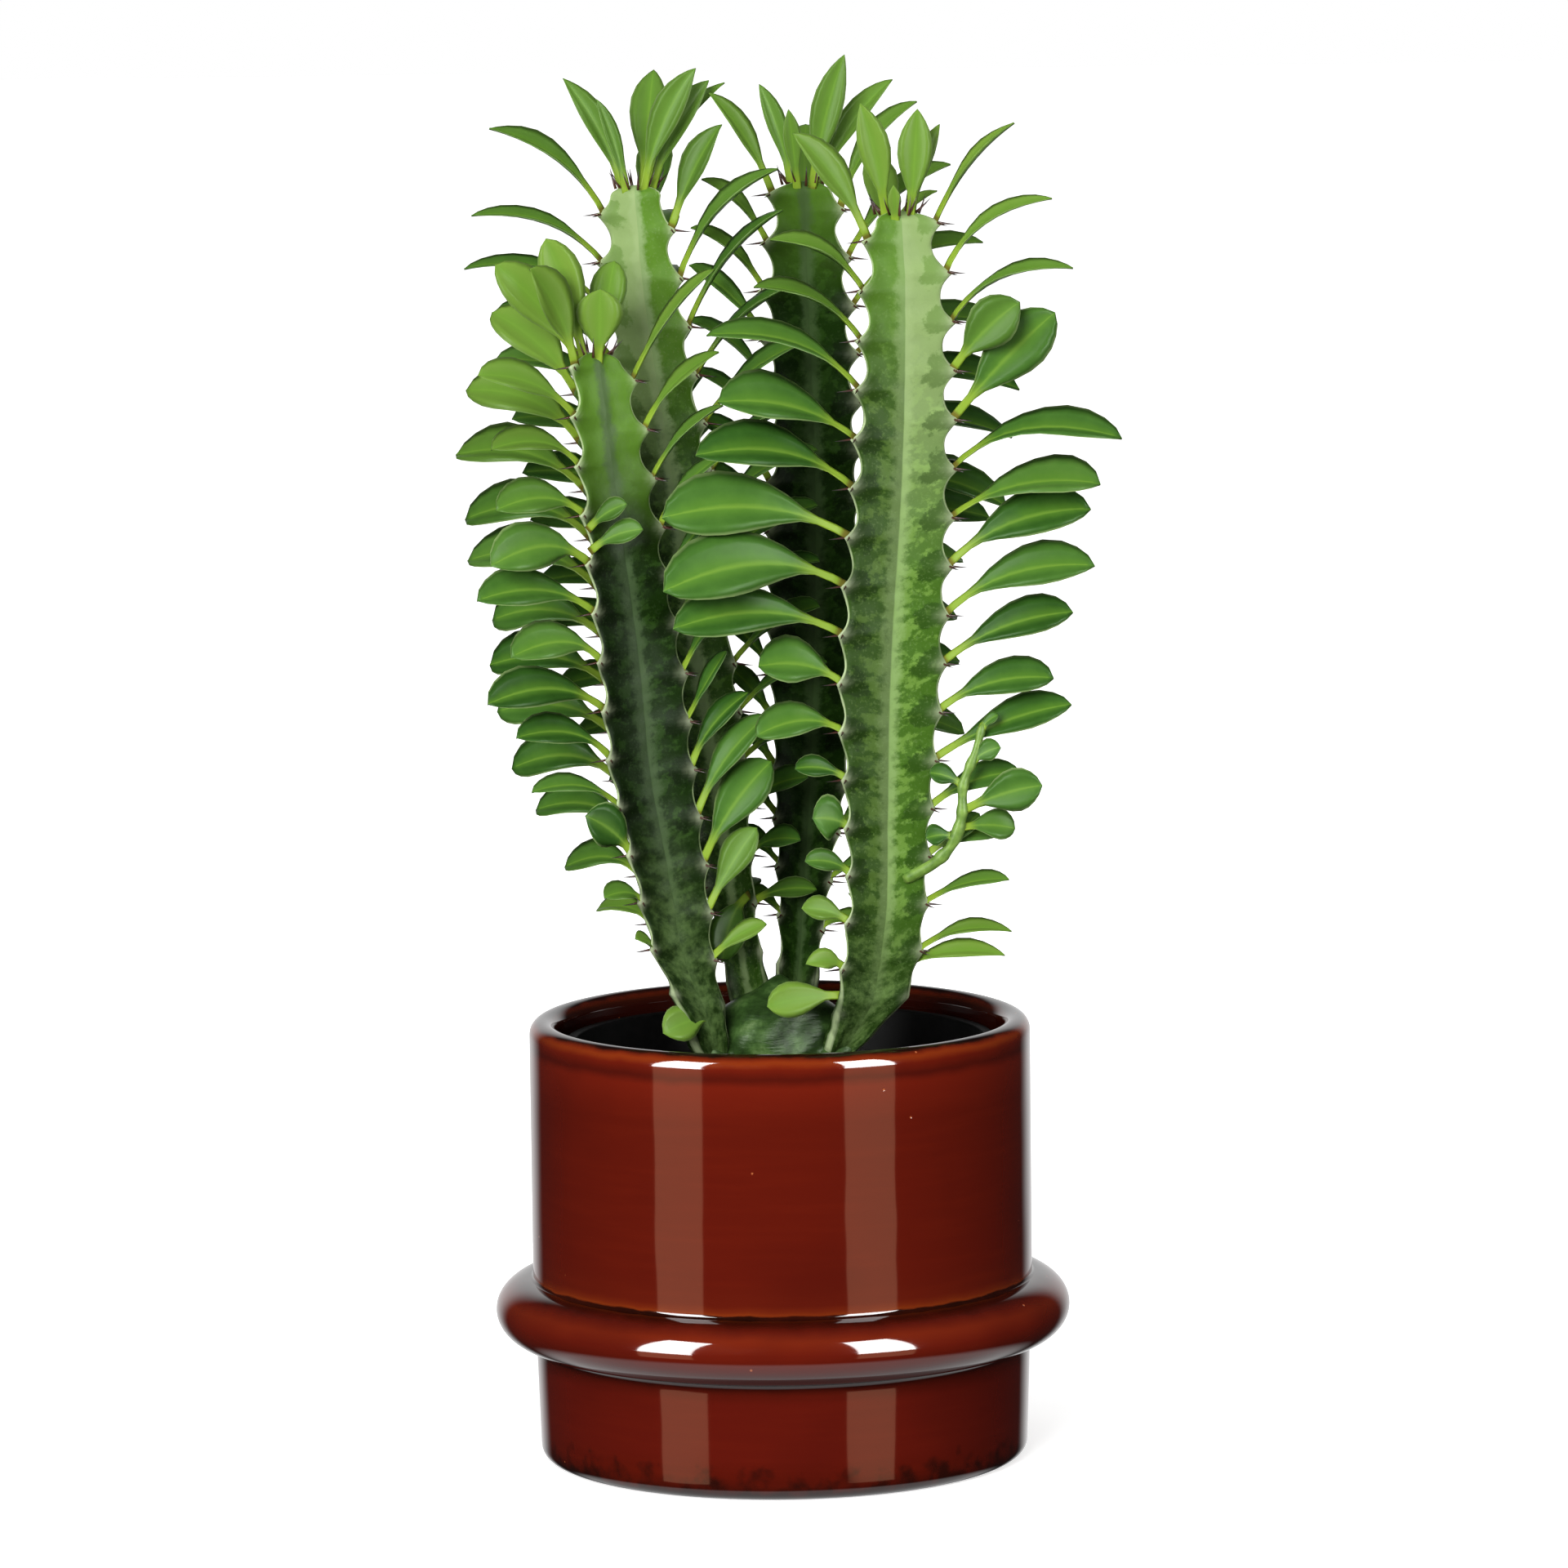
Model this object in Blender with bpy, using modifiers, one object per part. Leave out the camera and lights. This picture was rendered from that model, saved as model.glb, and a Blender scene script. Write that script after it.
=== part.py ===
"""African milk tree: four leafy three-ridged stems on one trunk, in a black grow pot inside a
glazed planter.

Frame: +Z up, the planter stands on z = 0 round the axis x = y = 0, and its front is -Y.
Lengths are in millimetres and angles in degrees. MM turns them into metres as a mesh is made.
"""
import math
from collections import namedtuple

import bmesh
import bpy
import numpy as np
from mathutils.bvhtree import BVHTree

MM = 0.001
GAP = 0.3

# Planter: a turned pot with a half-round ring, slightly flat, round its lower part
POT_HEIGHT = 132.5
POT_RADIUS = 75.0
POT_WAIST_RADIUS = 74.2
POT_FOOT_RADIUS = 73.2
POT_MOUTH_RADIUS = 66.6
POT_FLOOR_RADIUS = 64.8
POT_FLOOR = 9.0
RING_CENTRE = 45.0
RING_DEEP = 12.0
RING_HALF = 9.8
RING_REACH = 86.2
FOOT_ROUND = 4.0
POT_STEPS = 40

# Grow pot: thin, tapered, with a lip and four drain holes
GROW_TOP = 126.0
GROW_LIP_RADIUS = 64.6
GROW_TOP_RADIUS = 62.6
GROW_BASE_RADIUS = 54.0
GROW_WALL = 1.2
GROW_LIP_DEPTH = 5.0
DRAIN_RADIUS = 4.0
DRAIN_CIRCLE = 36.0
GROW_STEPS = 28

# Soil and the trunk that stands in it
SOIL_TOP = 113.0
SOIL_HOLE_DEPTH = 34.0
SOIL_STEPS = 28
TRUNK_FOOT_RADIUS = 16.0
TRUNK_BULGE = ((118.0, 16.0), (122.0, 18.8), (130.0, 18.5), (137.0, 16.0), (142.5, 8.0))
TRUNK_SIDES = 12

# Stems: the tubercles of the three ridges take turns up the stem, a third of a pitch apart
PITCH = 14.4
CROWN = 2.0
VALLEY = 0.40
SCALLOP = 0.17
LEAF_SINK = 2.6
LEAF_ASIDE = 0.25
TUFT_REACH = 0.3
SEED = 27

# Leaves: stations along the blade, and the half width there as a share of the widest
STATIONS = (0.0, 0.2, 0.45, 0.76)
WIDTH_SHARE = (0.0, 0.0, 0.84, 0.96)
PETIOLE_HALF = 1.15
BLADE_THICK = 1.25
FOLD = 0.30
LIGHT_BEARING = -90.0

# Spines: a pair of three-sided thorns on every third tubercle of a ridge
SPINE_LENGTH = 5.0
SPINE_HALF = 0.5
SPINE_SPREAD = 40.0
SPINE_FALL = -12.0
SPINE_INSET = 1.3
SPINE_APART = 0.75
SPINE_EVERY = 3

# A stem's axis from the trunk to its top, its ridge radius at each point, the height where the
# trunk's collar ends and the stem begins, the bearing of its open face, by how many thirds of a
# pitch each ridge's tubercles lie below the top, the leaves of its three ridges, the tuft at its
# tip as (bearing, leafing), and single leaves as (root, bearing, leafing), which grow on the trunk
# where they are lower than the joint
Stem = namedtuple("Stem", "name axis radius joint facing order ridges tuft singles")
# Leaves of a ridge by height: how far the tip goes out and up, the angle the stalk leaves at,
# the blade's width, the turn sideways from the ridge, and the lean of the blade towards the light
Leafing = namedtuple("Leafing", "z out up rise width swing lean")

FRONT_RIGHT = Stem(
    "stem_front_right",
    axis=((10, -6, 117.5), (17.5, -8.5, 123), (22, -10.5, 130.5), (26.5, -13.5, 140),
          (29, -17, 153), (31, -20, 170), (31.5, -22, 200), (32.5, -23, 240), (36.5, -23, 300),
          (38, -22, 350), (37.5, -21, 373)),
    radius=(7.5, 7, 8, 12.5, 14.8, 15, 16.5, 19.5, 19.3, 17.5, 13.5),
    joint=144,
    facing=-78,
    order=(1, 0, 2),
    ridges=(
        (Leafing(150, 14, 2, 40, 9, -20, 60), Leafing(179, 15, 5, 45, 8, -25, 60),
         Leafing(194, 12, 3, 35, 15, -20, 75), Leafing(208, 16, 3, 40, 8, -30, 50),
         Leafing(222, 25, 0, 32, 14, -30, 55), Leafing(237, 27, 6, 36, 16, -30, 50),
         Leafing(251, 51, 5, 34, 19, -30, 48), Leafing(265, 57, 0, 34, 21, -30, 52),
         Leafing(280, 59, 7, 34, 21, -30, 52), Leafing(294, 49, 12, 38, 20, -30, 50),
         Leafing(309, 41, 12, 42, 19, -30, 50), Leafing(323, 43, 17, 52, 13, -30, 32),
         Leafing(337, 31, 15, 60, 11, -30, 30), Leafing(352, 30, 17, 64, 11, -28, 30),
         Leafing(366, 23, 33, 72, 13, -25, 48)),
        (Leafing(155, 29, 6, 38, 8, 8, 42), Leafing(184, 22, 6, 42, 8, 8, 40),
         Leafing(198, 27, 10, 42, 10, 8, 40), Leafing(212, 43, 17, 40, 13, 8, 42),
         Leafing(227, 37, 12, 40, 13, 8, 42), Leafing(241, 41, 15, 44, 14, 8, 44),
         Leafing(256, 43, 16, 44, 15, 6, 44), Leafing(270, 43, 16, 42, 16, 6, 44),
         Leafing(285, 44, 12, 40, 18, 6, 44), Leafing(299, 48, 11, 42, 16, 5, 38),
         Leafing(313, 33, 31, 50, 18, 4, 74), Leafing(328, 22, 20, 58, 16, 0, 70),
         Leafing(342, 37, 16, 60, 9, 0, 24), Leafing(357, 30, 21, 64, 9, 0, 28),
         Leafing(371, 25, 28, 70, 8, 0, 25)),
        (Leafing(150, 24, 4, 45, 11, -10, 20), Leafing(210, 36, 2, 45, 15, -35, 25),
         Leafing(290, 44, 4, 50, 17, -40, 25), Leafing(345, 34, 18, 62, 14, -20, 20),
         Leafing(372, 20, 34, 76, 12, 0, 20)),
    ),
    tuft=((215, Leafing(0, 9, 36, 84, 12, 0, 65)), (-30, Leafing(0, 3, 34, 84, 13, 0, 65)),
          (25, Leafing(0, 10, 29, 82, 7, 0, 40)), (-100, Leafing(0, 3, 12, 80, 5, 0, 50)),
          (95, Leafing(0, 15, 9, 50, 5, -60, 30))),
    singles=(((20.5, -19.0, 141.5), 195, Leafing(0, 25, -2, 5, 11, 0, 75)),
             ((34, -17.5, 148), -14, Leafing(0, 34, 6, 34, 9, 0, 45))))
FRONT_LEFT = Stem(
    "stem_front_left",
    axis=((-14.5, -9, 117.5), (-20.5, -12.5, 123.5), (-22.7, -15.5, 131.5), (-25, -19, 140),
          (-28.5, -22.5, 149.5), (-31.5, -24.5, 160), (-34.5, -26, 178), (-40, -28, 210),
          (-43, -29, 245), (-47.5, -29, 285), (-51, -29, 318), (-52.5, -28, 333)),
    radius=(7, 6.8, 7, 9, 11, 13.2, 15, 17.2, 17.4, 16.4, 15, 12),
    joint=144,
    facing=-62,
    order=(0, 1, 2),
    ridges=(
        (Leafing(158, 8, 3, 40, 6, -20, 40), Leafing(173, 15, 4, 45, 9, -28, 50),
         Leafing(187, 16, 11, 55, 13, -28, 60), Leafing(201, 27, 5, 42, 9, -28, 40),
         Leafing(216, 34, 8, 46, 12, -28, 40), Leafing(230, 41, 5, 42, 14, -28, 50),
         Leafing(245, 27, 3, 48, 14, -28, 40), Leafing(259, 36, 4, 44, 15, -28, 50),
         Leafing(273, 38, 1, 42, 17, -28, 58), Leafing(288, 28, 5, 46, 14, -28, 48),
         Leafing(302, 27, 8, 48, 12, -28, 38), Leafing(317, 30, 12, 50, 12, -28, 42),
         Leafing(331, 16, 28, 74, 15, -10, 45)),
        (Leafing(153, 17, 9, 50, 7, 0, 40), Leafing(168, 16, 27, 68, 11, 5, 50),
         Leafing(182, 20, 31, 68, 16, 5, 60), Leafing(197, 22, 29, 68, 10, 5, 30),
         Leafing(225, 13, 19, 66, 8, 5, 25), Leafing(254, 18, 20, 64, 8, 5, 20),
         Leafing(297, 21, 20, 66, 7, 5, 18), Leafing(312, 24, 22, 66, 8, 5, 18),
         Leafing(326, 25, 31, 70, 9, 3, 22)),
        (Leafing(150, 16, 3, 40, 9, 25, 30), Leafing(185, 30, 3, 40, 13, 32, 42),
         Leafing(230, 42, 4, 38, 17, 35, 48), Leafing(290, 43, 6, 42, 18, 35, 46),
         Leafing(318, 32, 20, 58, 17, 30, 40), Leafing(334, 18, 32, 74, 15, 20, 30)),
    ),
    tuft=((150, Leafing(0, 25, 30, 62, 14, 28, 62)), (235, Leafing(0, 11, 38, 80, 13, -45, 64)),
          (-60, Leafing(0, 2, 29, 84, 14, 0, 70)), (60, Leafing(0, 10, 30, 78, 11, 0, 50))),
    singles=(((-18.3, -17.3, 135.5), 218, Leafing(0, 20.5, -3, 5, 11.5, 0, 75)),
             ((-54.3, -40.5, 283.5), -26, Leafing(0, 13, 8, 48, 7, 0, 62)),
             ((-53.8, -40.0, 277.0), -22, Leafing(0, 17, 7, 42, 8, 0, 62))))
BACK_LEFT = Stem(
    "stem_back_left",
    axis=((-4.5, 2, 122), (-10, 8, 147), (-13, 11, 164), (-17.5, 15, 200), (-24, 19, 250),
          (-30, 21, 300), (-36.5, 21, 345), (-39.5, 20, 379)),
    radius=(6, 7.5, 9, 12.5, 15.5, 16.5, 16.5, 13),
    joint=147,
    facing=-100,
    order=(1, 2, 0),
    ridges=(
        (Leafing(165, 14, 6, 45, 9, -20, 35), Leafing(230, 34, 4, 42, 13, -20, 40),
         Leafing(327, 36, 14, 52, 13, -12, 32), Leafing(341, 40, 12, 54, 10, -10, 26),
         Leafing(356, 41, 14, 56, 9, -10, 24), Leafing(370, 36, 26, 64, 12, -10, 34)),
        (Leafing(164, 20, 3, 35, 8, 35, 60), Leafing(178, 16, 6, 45, 9, 20, 40),
         Leafing(230, 30, 16, 55, 12, 20, 30), Leafing(310, 33, 24, 60, 12, 22, 22),
         Leafing(337, 30, 34, 68, 9, 20, 20), Leafing(351, 36, 35, 66, 11, 15, 22),
         Leafing(365, 18, 33, 76, 11, 10, 35)),
        (Leafing(165, 16, 8, 50, 10, 0, 20), Leafing(240, 38, 8, 45, 15, 10, 20),
         Leafing(340, 40, 18, 56, 15, 10, 20), Leafing(378, 18, 36, 76, 13, 0, 20)),
    ),
    tuft=((160, Leafing(0, 18, 36, 78, 10, 15, 45)), (225, Leafing(0, 9, 30, 82, 6, -30, 40)),
          (-65, Leafing(0, 17, 39, 82, 12, 50, 60)), (0, Leafing(0, 18, 35, 78, 11, 0, 50)),
          (65, Leafing(0, 25, 34, 74, 8, -60, 32))),
    singles=(((-8.5, 7, 168.5), -150, Leafing(0, 13, -19, -20, 13, 20, 88)),))
BACK_RIGHT = Stem(
    "stem_back_right",
    axis=((2.5, 6, 122), (6, 15, 147), (7.5, 20, 164), (10, 27, 200), (12, 30, 250),
          (12.5, 31, 300), (11, 31, 350), (10.5, 30, 379)),
    radius=(6, 7.5, 9.5, 14, 17.5, 18, 17.5, 13.5),
    joint=147,
    facing=-90,
    order=(0, 1, 2),
    ridges=(
        (Leafing(165, 12, 8, 50, 9, 0, 30), Leafing(240, 28, 14, 55, 12, -20, 25),
         Leafing(320, 24, 22, 62, 10, -22, 22), Leafing(348, 21, 20, 64, 9, -20, 22),
         Leafing(363, 20, 21, 66, 9, -20, 25), Leafing(377, 20, 31, 74, 10, -20, 28)),
        (Leafing(165, 16, 8, 50, 9, 20, 30), Leafing(230, 42, 0, 40, 15, 28, 35),
         Leafing(320, 46, 4, 45, 15, 28, 32), Leafing(352, 34, 24, 60, 13, 20, 25),
         Leafing(380, 18, 36, 76, 12, 10, 20)),
        (Leafing(165, 18, 8, 50, 10, 0, 20), Leafing(240, 40, 6, 45, 15, 0, 20),
         Leafing(340, 42, 16, 55, 15, 0, 20), Leafing(380, 18, 36, 76, 13, 0, 20)),
    ),
    tuft=((150, Leafing(0, 10, 33, 82, 8, 15, 45)), (-60, Leafing(0, 11, 42, 82, 12, 40, 62)),
          (20, Leafing(0, 23, 34, 74, 10, -15, 45)), (240, Leafing(0, 5, 26, 82, 7, 0, 50))),
    singles=())
STEMS = (FRONT_RIGHT, FRONT_LEFT, BACK_LEFT, BACK_RIGHT)

# Side shoot of the front right stem: its path, its radius, and the (path share, bearing, leafing)
# of each of its leaves
SHOOT_PATH = ((38, -24, 177), (46.5, -29, 182.5), (52, -31, 189), (54.5, -32, 197), (55, -32, 206),
              (58.5, -32, 215), (61, -31.5, 224))
SHOOT_RADIUS = 1.6
SHOOT_LEAVES = (
    (0.22, 20, Leafing(0, 12, 12, 55, 6, 0, 60)),
    (0.36, 190, Leafing(0, 9, 0, 20, 7, 0, 65)),
    (0.42, -8, Leafing(0, 17, -1, 10, 10, 20, 60)),
    (0.52, -12, Leafing(0, 24, 8, 30, 13, 0, 78)),
    (0.66, 185, Leafing(0, 10, 4, 40, 7, 0, 60)),
    (0.78, -15, Leafing(0, 9, 5, 50, 7, 0, 65)),
    (0.97, -10, Leafing(0, 5, 4, 60, 4, 0, 50)),
)

# What a leaf tries in turn where it would touch its surroundings: turn, lift and share of length
TRIES = ((0, 0, 1), (12, 0, 1), (-12, 0, 1), (0, 6, 1), (0, -6, 1), (24, 3, 0.95), (-24, 3, 0.95),
         (0, 12, 0.9), (40, 4, 0.9), (-40, 4, 0.9), (0, 5, 0.75), (25, 8, 0.75), (-25, 8, 0.75),
         (50, 8, 0.75), (-50, 8, 0.75), (0, 12, 0.6), (30, 12, 0.6), (-30, 12, 0.6), (0, 8, 0.45))
CLEARANCE = 0.45


def compass(degrees):
    """Level unit vector with this bearing."""
    return np.array([math.cos(math.radians(degrees)), math.sin(math.radians(degrees)), 0.0])


def smooth_path(points, share):
    """Point at a share of the way along a Catmull-Rom curve through the given points."""
    pts = np.array(points, float)
    if pts.ndim == 1:
        pts = pts[:, None]
    place = np.clip(share, 0, 1) * (len(pts) - 1)
    i = min(int(place), len(pts) - 2)
    t = place - i
    p1, p2 = pts[i], pts[i + 1]
    p0 = pts[i - 1] if i else 2 * p1 - p2
    p3 = pts[i + 2] if i + 2 < len(pts) else 2 * p2 - p1
    return 0.5 * (2 * p1 + (p2 - p0) * t + (2 * p0 - 5 * p1 + 4 * p2 - p3) * t * t
                  + (3 * p1 - p0 - 3 * p2 + p3) * t ** 3)


def stem_centre(stem, z):
    """Centre and ridge radius of a stem at a height."""
    levels = [point[2] for point in stem.axis]
    share = np.interp(z, levels, np.linspace(0, 1, len(levels)))
    centre = smooth_path(stem.axis, share)
    return np.array([centre[0], centre[1], z]), float(smooth_path(stem.radius, share)[0])


def ridge_bearing(stem, ridge):
    """Bearing of ridge 0 (left of the open face), 1 (right of it) or 2 (behind)."""
    return stem.facing + (-60, 60, 180)[ridge]


def tubercle_levels(stem, ridge):
    """Heights of a ridge's tubercles, counted down from the top of the stem."""
    top = stem.axis[-1][2] - CROWN - PITCH * stem.order[ridge] / 3
    return np.arange(top, stem.joint + 6.0, -PITCH)


def leaf_line(root, heading, leafing, count):
    """Centre line of a leaf: a curve that leaves at the rise angle and ends at its tip."""
    flat = compass(heading)
    chord = leafing.out * flat + np.array([0, 0, leafing.up])
    reach = 0.5 * np.linalg.norm(chord)
    rise = math.radians(leafing.rise)
    bend = root + reach * (math.cos(rise) * flat + np.array([0, 0, math.sin(rise)]))
    tip = root + chord
    t = np.array(count)[:, None]
    line = (1 - t) ** 2 * root + 2 * t * (1 - t) * bend + t * t * tip
    tangent = 2 * (1 - t) * (bend - root) + 2 * t * (tip - bend)
    return line, tangent / np.linalg.norm(tangent, axis=1)[:, None]


def leaf_frame(tangent, leafing):
    """Upper side and edge directions along a leaf, whose blade faces the light."""
    lean = math.radians(leafing.lean)
    light = math.sin(lean) * compass(LIGHT_BEARING) + np.array([0, 0, math.cos(lean)])
    upper = light - (tangent @ light)[:, None] * tangent
    upper /= np.linalg.norm(upper, axis=1)[:, None]
    return upper, np.cross(upper, tangent)


def leaf_mesh(root, heading, leafing, pad=0.0):
    """Vertices and faces of one closed leaf: edges, upper rib and lower rib at each station, then
    the tip. The stalk is a straight prism, and both faces of the blade are split alike."""
    line, tangent = leaf_line(root, heading, leafing, STATIONS + (1.0,))
    upper, side = leaf_frame(tangent, leafing)
    verts = []
    for i, share in enumerate(WIDTH_SHARE):
        k = max(i, 1)
        half = max(PETIOLE_HALF, share * leafing.width / 2) + pad
        blade = 1.0 if share else 0.0
        rise = FOLD * half * blade
        above = 0.1 + (1 - blade) * 0.5 + pad
        below = above - BLADE_THICK - 2 * pad
        verts += [line[i] + half * side[k] + rise * upper[k], line[i] + above * upper[k],
                  line[i] - half * side[k] + rise * upper[k], line[i] + below * upper[k]]
    verts.append(line[-1] + pad * tangent[-1])
    faces = [(3, 2, 1, 0)] + [(j, (j + 1) % 4, (j + 1) % 4 + 4, j + 4) for j in range(4)]
    last = 4 * (len(STATIONS) - 1)
    for base in range(4, last, 4):
        ahead = base + 4
        for a, b, edge in ((0, 1, 0), (1, 2, 2), (2, 3, 2), (3, 0, 0)):
            if a == edge:
                faces += [(base + a, base + b, ahead + b), (base + a, ahead + b, ahead + a)]
            else:
                faces += [(base + a, base + b, ahead + a), (base + b, ahead + b, ahead + a)]
    faces += [(last + a, last + b, last + 4) for a, b in ((0, 1), (1, 2), (2, 3), (3, 0))]
    return np.array(verts), faces


def spine_mesh(root, heading):
    """A three-sided thorn from a point sunk in its tubercle."""
    fall = math.radians(SPINE_FALL)
    along = math.cos(fall) * compass(heading) + np.array([0, 0, math.sin(fall)])
    side = compass(heading + 90)
    upper = np.cross(along, side)
    start = root - SPINE_INSET * along
    base = [start + SPINE_HALF * (math.cos(a) * side + math.sin(a) * upper)
            for a in (math.pi / 2, math.pi * 7 / 6, math.pi * 11 / 6)]
    return np.array(base + [root + SPINE_LENGTH * along]), [(0, 1, 3), (1, 2, 3), (2, 0, 3),
                                                            (0, 2, 1)]


def ridged_sections(stem, levels, peak_at):
    """Level six-sided sections of a stem and the faces between them, closed below. peak_at gives
    the ridge that has a tubercle at each level, or None."""
    verts = []
    for z, peak in zip(levels, peak_at):
        centre, radius = stem_centre(stem, z)
        for ridge in (0, 1, 2):
            reach = radius * (1.0 if peak == ridge else 1.0 - SCALLOP)
            bearing = ridge_bearing(stem, ridge)
            verts.append(centre + reach * compass(bearing))
            verts.append(centre + radius * VALLEY * compass(bearing + 60))
    faces = [(5, 4, 3), (5, 3, 2), (5, 2, 1), (5, 1, 0)]
    for k in range(len(levels) - 1):
        for j in range(6):
            a, b = 6 * k + j, 6 * k + (j + 1) % 6
            if j % 2:
                faces += [(a, b, a + 6), (b, b + 6, a + 6)]
            else:
                faces += [(a, b, b + 6), (a, b + 6, a + 6)]
    return verts, faces


def stem_mesh(stem):
    """Ridged body of a stem above its joint: a peak on one ridge at each level, and a cap."""
    high = stem.axis[-1][2]
    levels = [stem.joint] + list(np.arange(high - CROWN, stem.joint + 4.0, -PITCH / 3)[::-1])
    peaks = [None] + [stem.order.index(k % 3) for k in reversed(range(len(levels) - 1))]
    verts, faces = ridged_sections(stem, levels, peaks)
    centre, _ = stem_centre(stem, high)
    last = 6 * (len(levels) - 1)
    faces += [(last + j, last + (j + 1) % 6, len(verts)) for j in range(6)]
    verts.append(centre + np.array([0, 0, 1.5]))
    return np.array(verts), faces


def trunk_mesh():
    """Squat trunk: a round foot in the soil that swells into a lump above it."""
    rings = [(SOIL_TOP - SOIL_HOLE_DEPTH + GAP, TRUNK_FOOT_RADIUS)] + list(TRUNK_BULGE)
    verts = [(*(r * compass(360 * i / TRUNK_SIDES)[:2]), z)
             for z, r in rings for i in range(TRUNK_SIDES)]
    faces = [tuple(reversed(range(TRUNK_SIDES)))]
    for k in range(len(rings) - 1):
        for i in range(TRUNK_SIDES):
            a, b = k * TRUNK_SIDES + i, k * TRUNK_SIDES + (i + 1) % TRUNK_SIDES
            faces.append((a, b, b + TRUNK_SIDES, a + TRUNK_SIDES))
    last = (len(rings) - 1) * TRUNK_SIDES
    faces.append(tuple(range(last, last + TRUNK_SIDES)))
    return np.array(verts), faces


def collar_mesh(stem):
    """The part of the trunk that a stem grows on: the stem's own sections, below its joint."""
    foot, top = stem.axis[0][2], stem.joint - GAP
    levels = list(np.linspace(foot, top, 7))
    verts, faces = ridged_sections(stem, levels, [None] * len(levels))
    last = 6 * (len(levels) - 1)
    faces += [(last, last + j, last + j + 1) for j in range(1, 5)]
    return np.array(verts), faces


def shoot_mesh():
    """Side shoot: a five-sided tube that tapers to a point."""
    shares = np.linspace(0, 1, 8)
    path = np.array([smooth_path(SHOOT_PATH, s) for s in shares])
    verts, faces = [], [(4, 3, 2), (4, 2, 1), (4, 1, 0)]
    for i, point in enumerate(path[:-1]):
        along = path[i + 1] - path[max(i - 1, 0)]
        along /= np.linalg.norm(along)
        side = np.cross(along, compass(LIGHT_BEARING))
        side /= np.linalg.norm(side)
        up = np.cross(side, along)
        for j in range(5):
            turn = 2 * math.pi * j / 5
            verts.append(point + SHOOT_RADIUS * (math.cos(turn) * side - math.sin(turn) * up))
        if i:
            for j in range(5):
                a, b = 5 * (i - 1) + j, 5 * (i - 1) + (j + 1) % 5
                faces += [(a, b, b + 5), (a, b + 5, a + 5)]
    last = 5 * (len(path) - 2)
    verts.append(path[-1])
    faces += [(last + j, last + (j + 1) % 5, len(verts) - 1) for j in range(5)]
    return np.array(verts), faces


def turned_guard(profile, sides=48):
    """Simple turned surface that leaves and spines keep clear of."""
    verts = [(r * math.cos(2 * math.pi * i / sides), r * math.sin(2 * math.pi * i / sides), z)
             for r, z in profile for i in range(sides)]
    faces = []
    for k in range(len(profile) - 1):
        for i in range(sides):
            a, b = k * sides + i, k * sides + (i + 1) % sides
            faces.append((a, b, b + sides, a + sides))
    return np.array(verts), faces


def pot_guard():
    """Soil, grow pot lip and planter mouth as one turned surface."""
    return turned_guard(((0.5, SOIL_TOP + 3), (GROW_TOP_RADIUS - 2, SOIL_TOP + 3),
                         (GROW_TOP_RADIUS - 2, GROW_TOP + 1), (POT_MOUTH_RADIUS - 1, GROW_TOP + 1),
                         (POT_MOUTH_RADIUS - 1, POT_HEIGHT + 1), (POT_RADIUS + 1, POT_HEIGHT + 1),
                         (POT_RADIUS + 1, 60)))


def leafing_at(rows, z, rng):
    """Leaf settings of a ridge at a height, with a small seeded variation."""
    levels = [row.z for row in rows]
    values = [np.interp(z, levels, [row[k] for row in rows]) for k in range(1, 7)]
    out, up, rise, width, swing, lean = values
    vary = rng.uniform(-1, 1, 6)
    return Leafing(z, out * (1 + 0.07 * vary[0]), up + 2.0 * vary[1], rise + 5 * vary[2],
                   width * (1 + 0.08 * vary[3]), swing + 7 * vary[4], lean + 9 * vary[5])


def changed(leafing, turn, lift, share):
    """The same leaf turned, lifted and shortened."""
    return leafing._replace(out=leafing.out * share, up=leafing.up * share + lift,
                            width=leafing.width * max(share, 0.7), swing=leafing.swing + turn)


class Crowd:
    """Meshes already placed, which the next one must not touch."""

    def __init__(self):
        self.members = []

    def add(self, mesh, owner):
        verts, faces = mesh
        tree = BVHTree.FromPolygons([tuple(v) for v in verts], faces)
        self.members.append((owner, verts.min(axis=0), verts.max(axis=0), tree))

    def touches(self, mesh, owner):
        """Whether the mesh meets a member that another body owns, or another leaf of its own."""
        verts, faces = mesh
        low, high = verts.min(axis=0), verts.max(axis=0)
        tree = None
        for other, other_low, other_high, other_tree in self.members:
            if other == owner or (low > other_high).any() or (high < other_low).any():
                continue
            tree = tree or BVHTree.FromPolygons([tuple(v) for v in verts], faces)
            if tree.overlap(other_tree):
                return True
        return False


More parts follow.
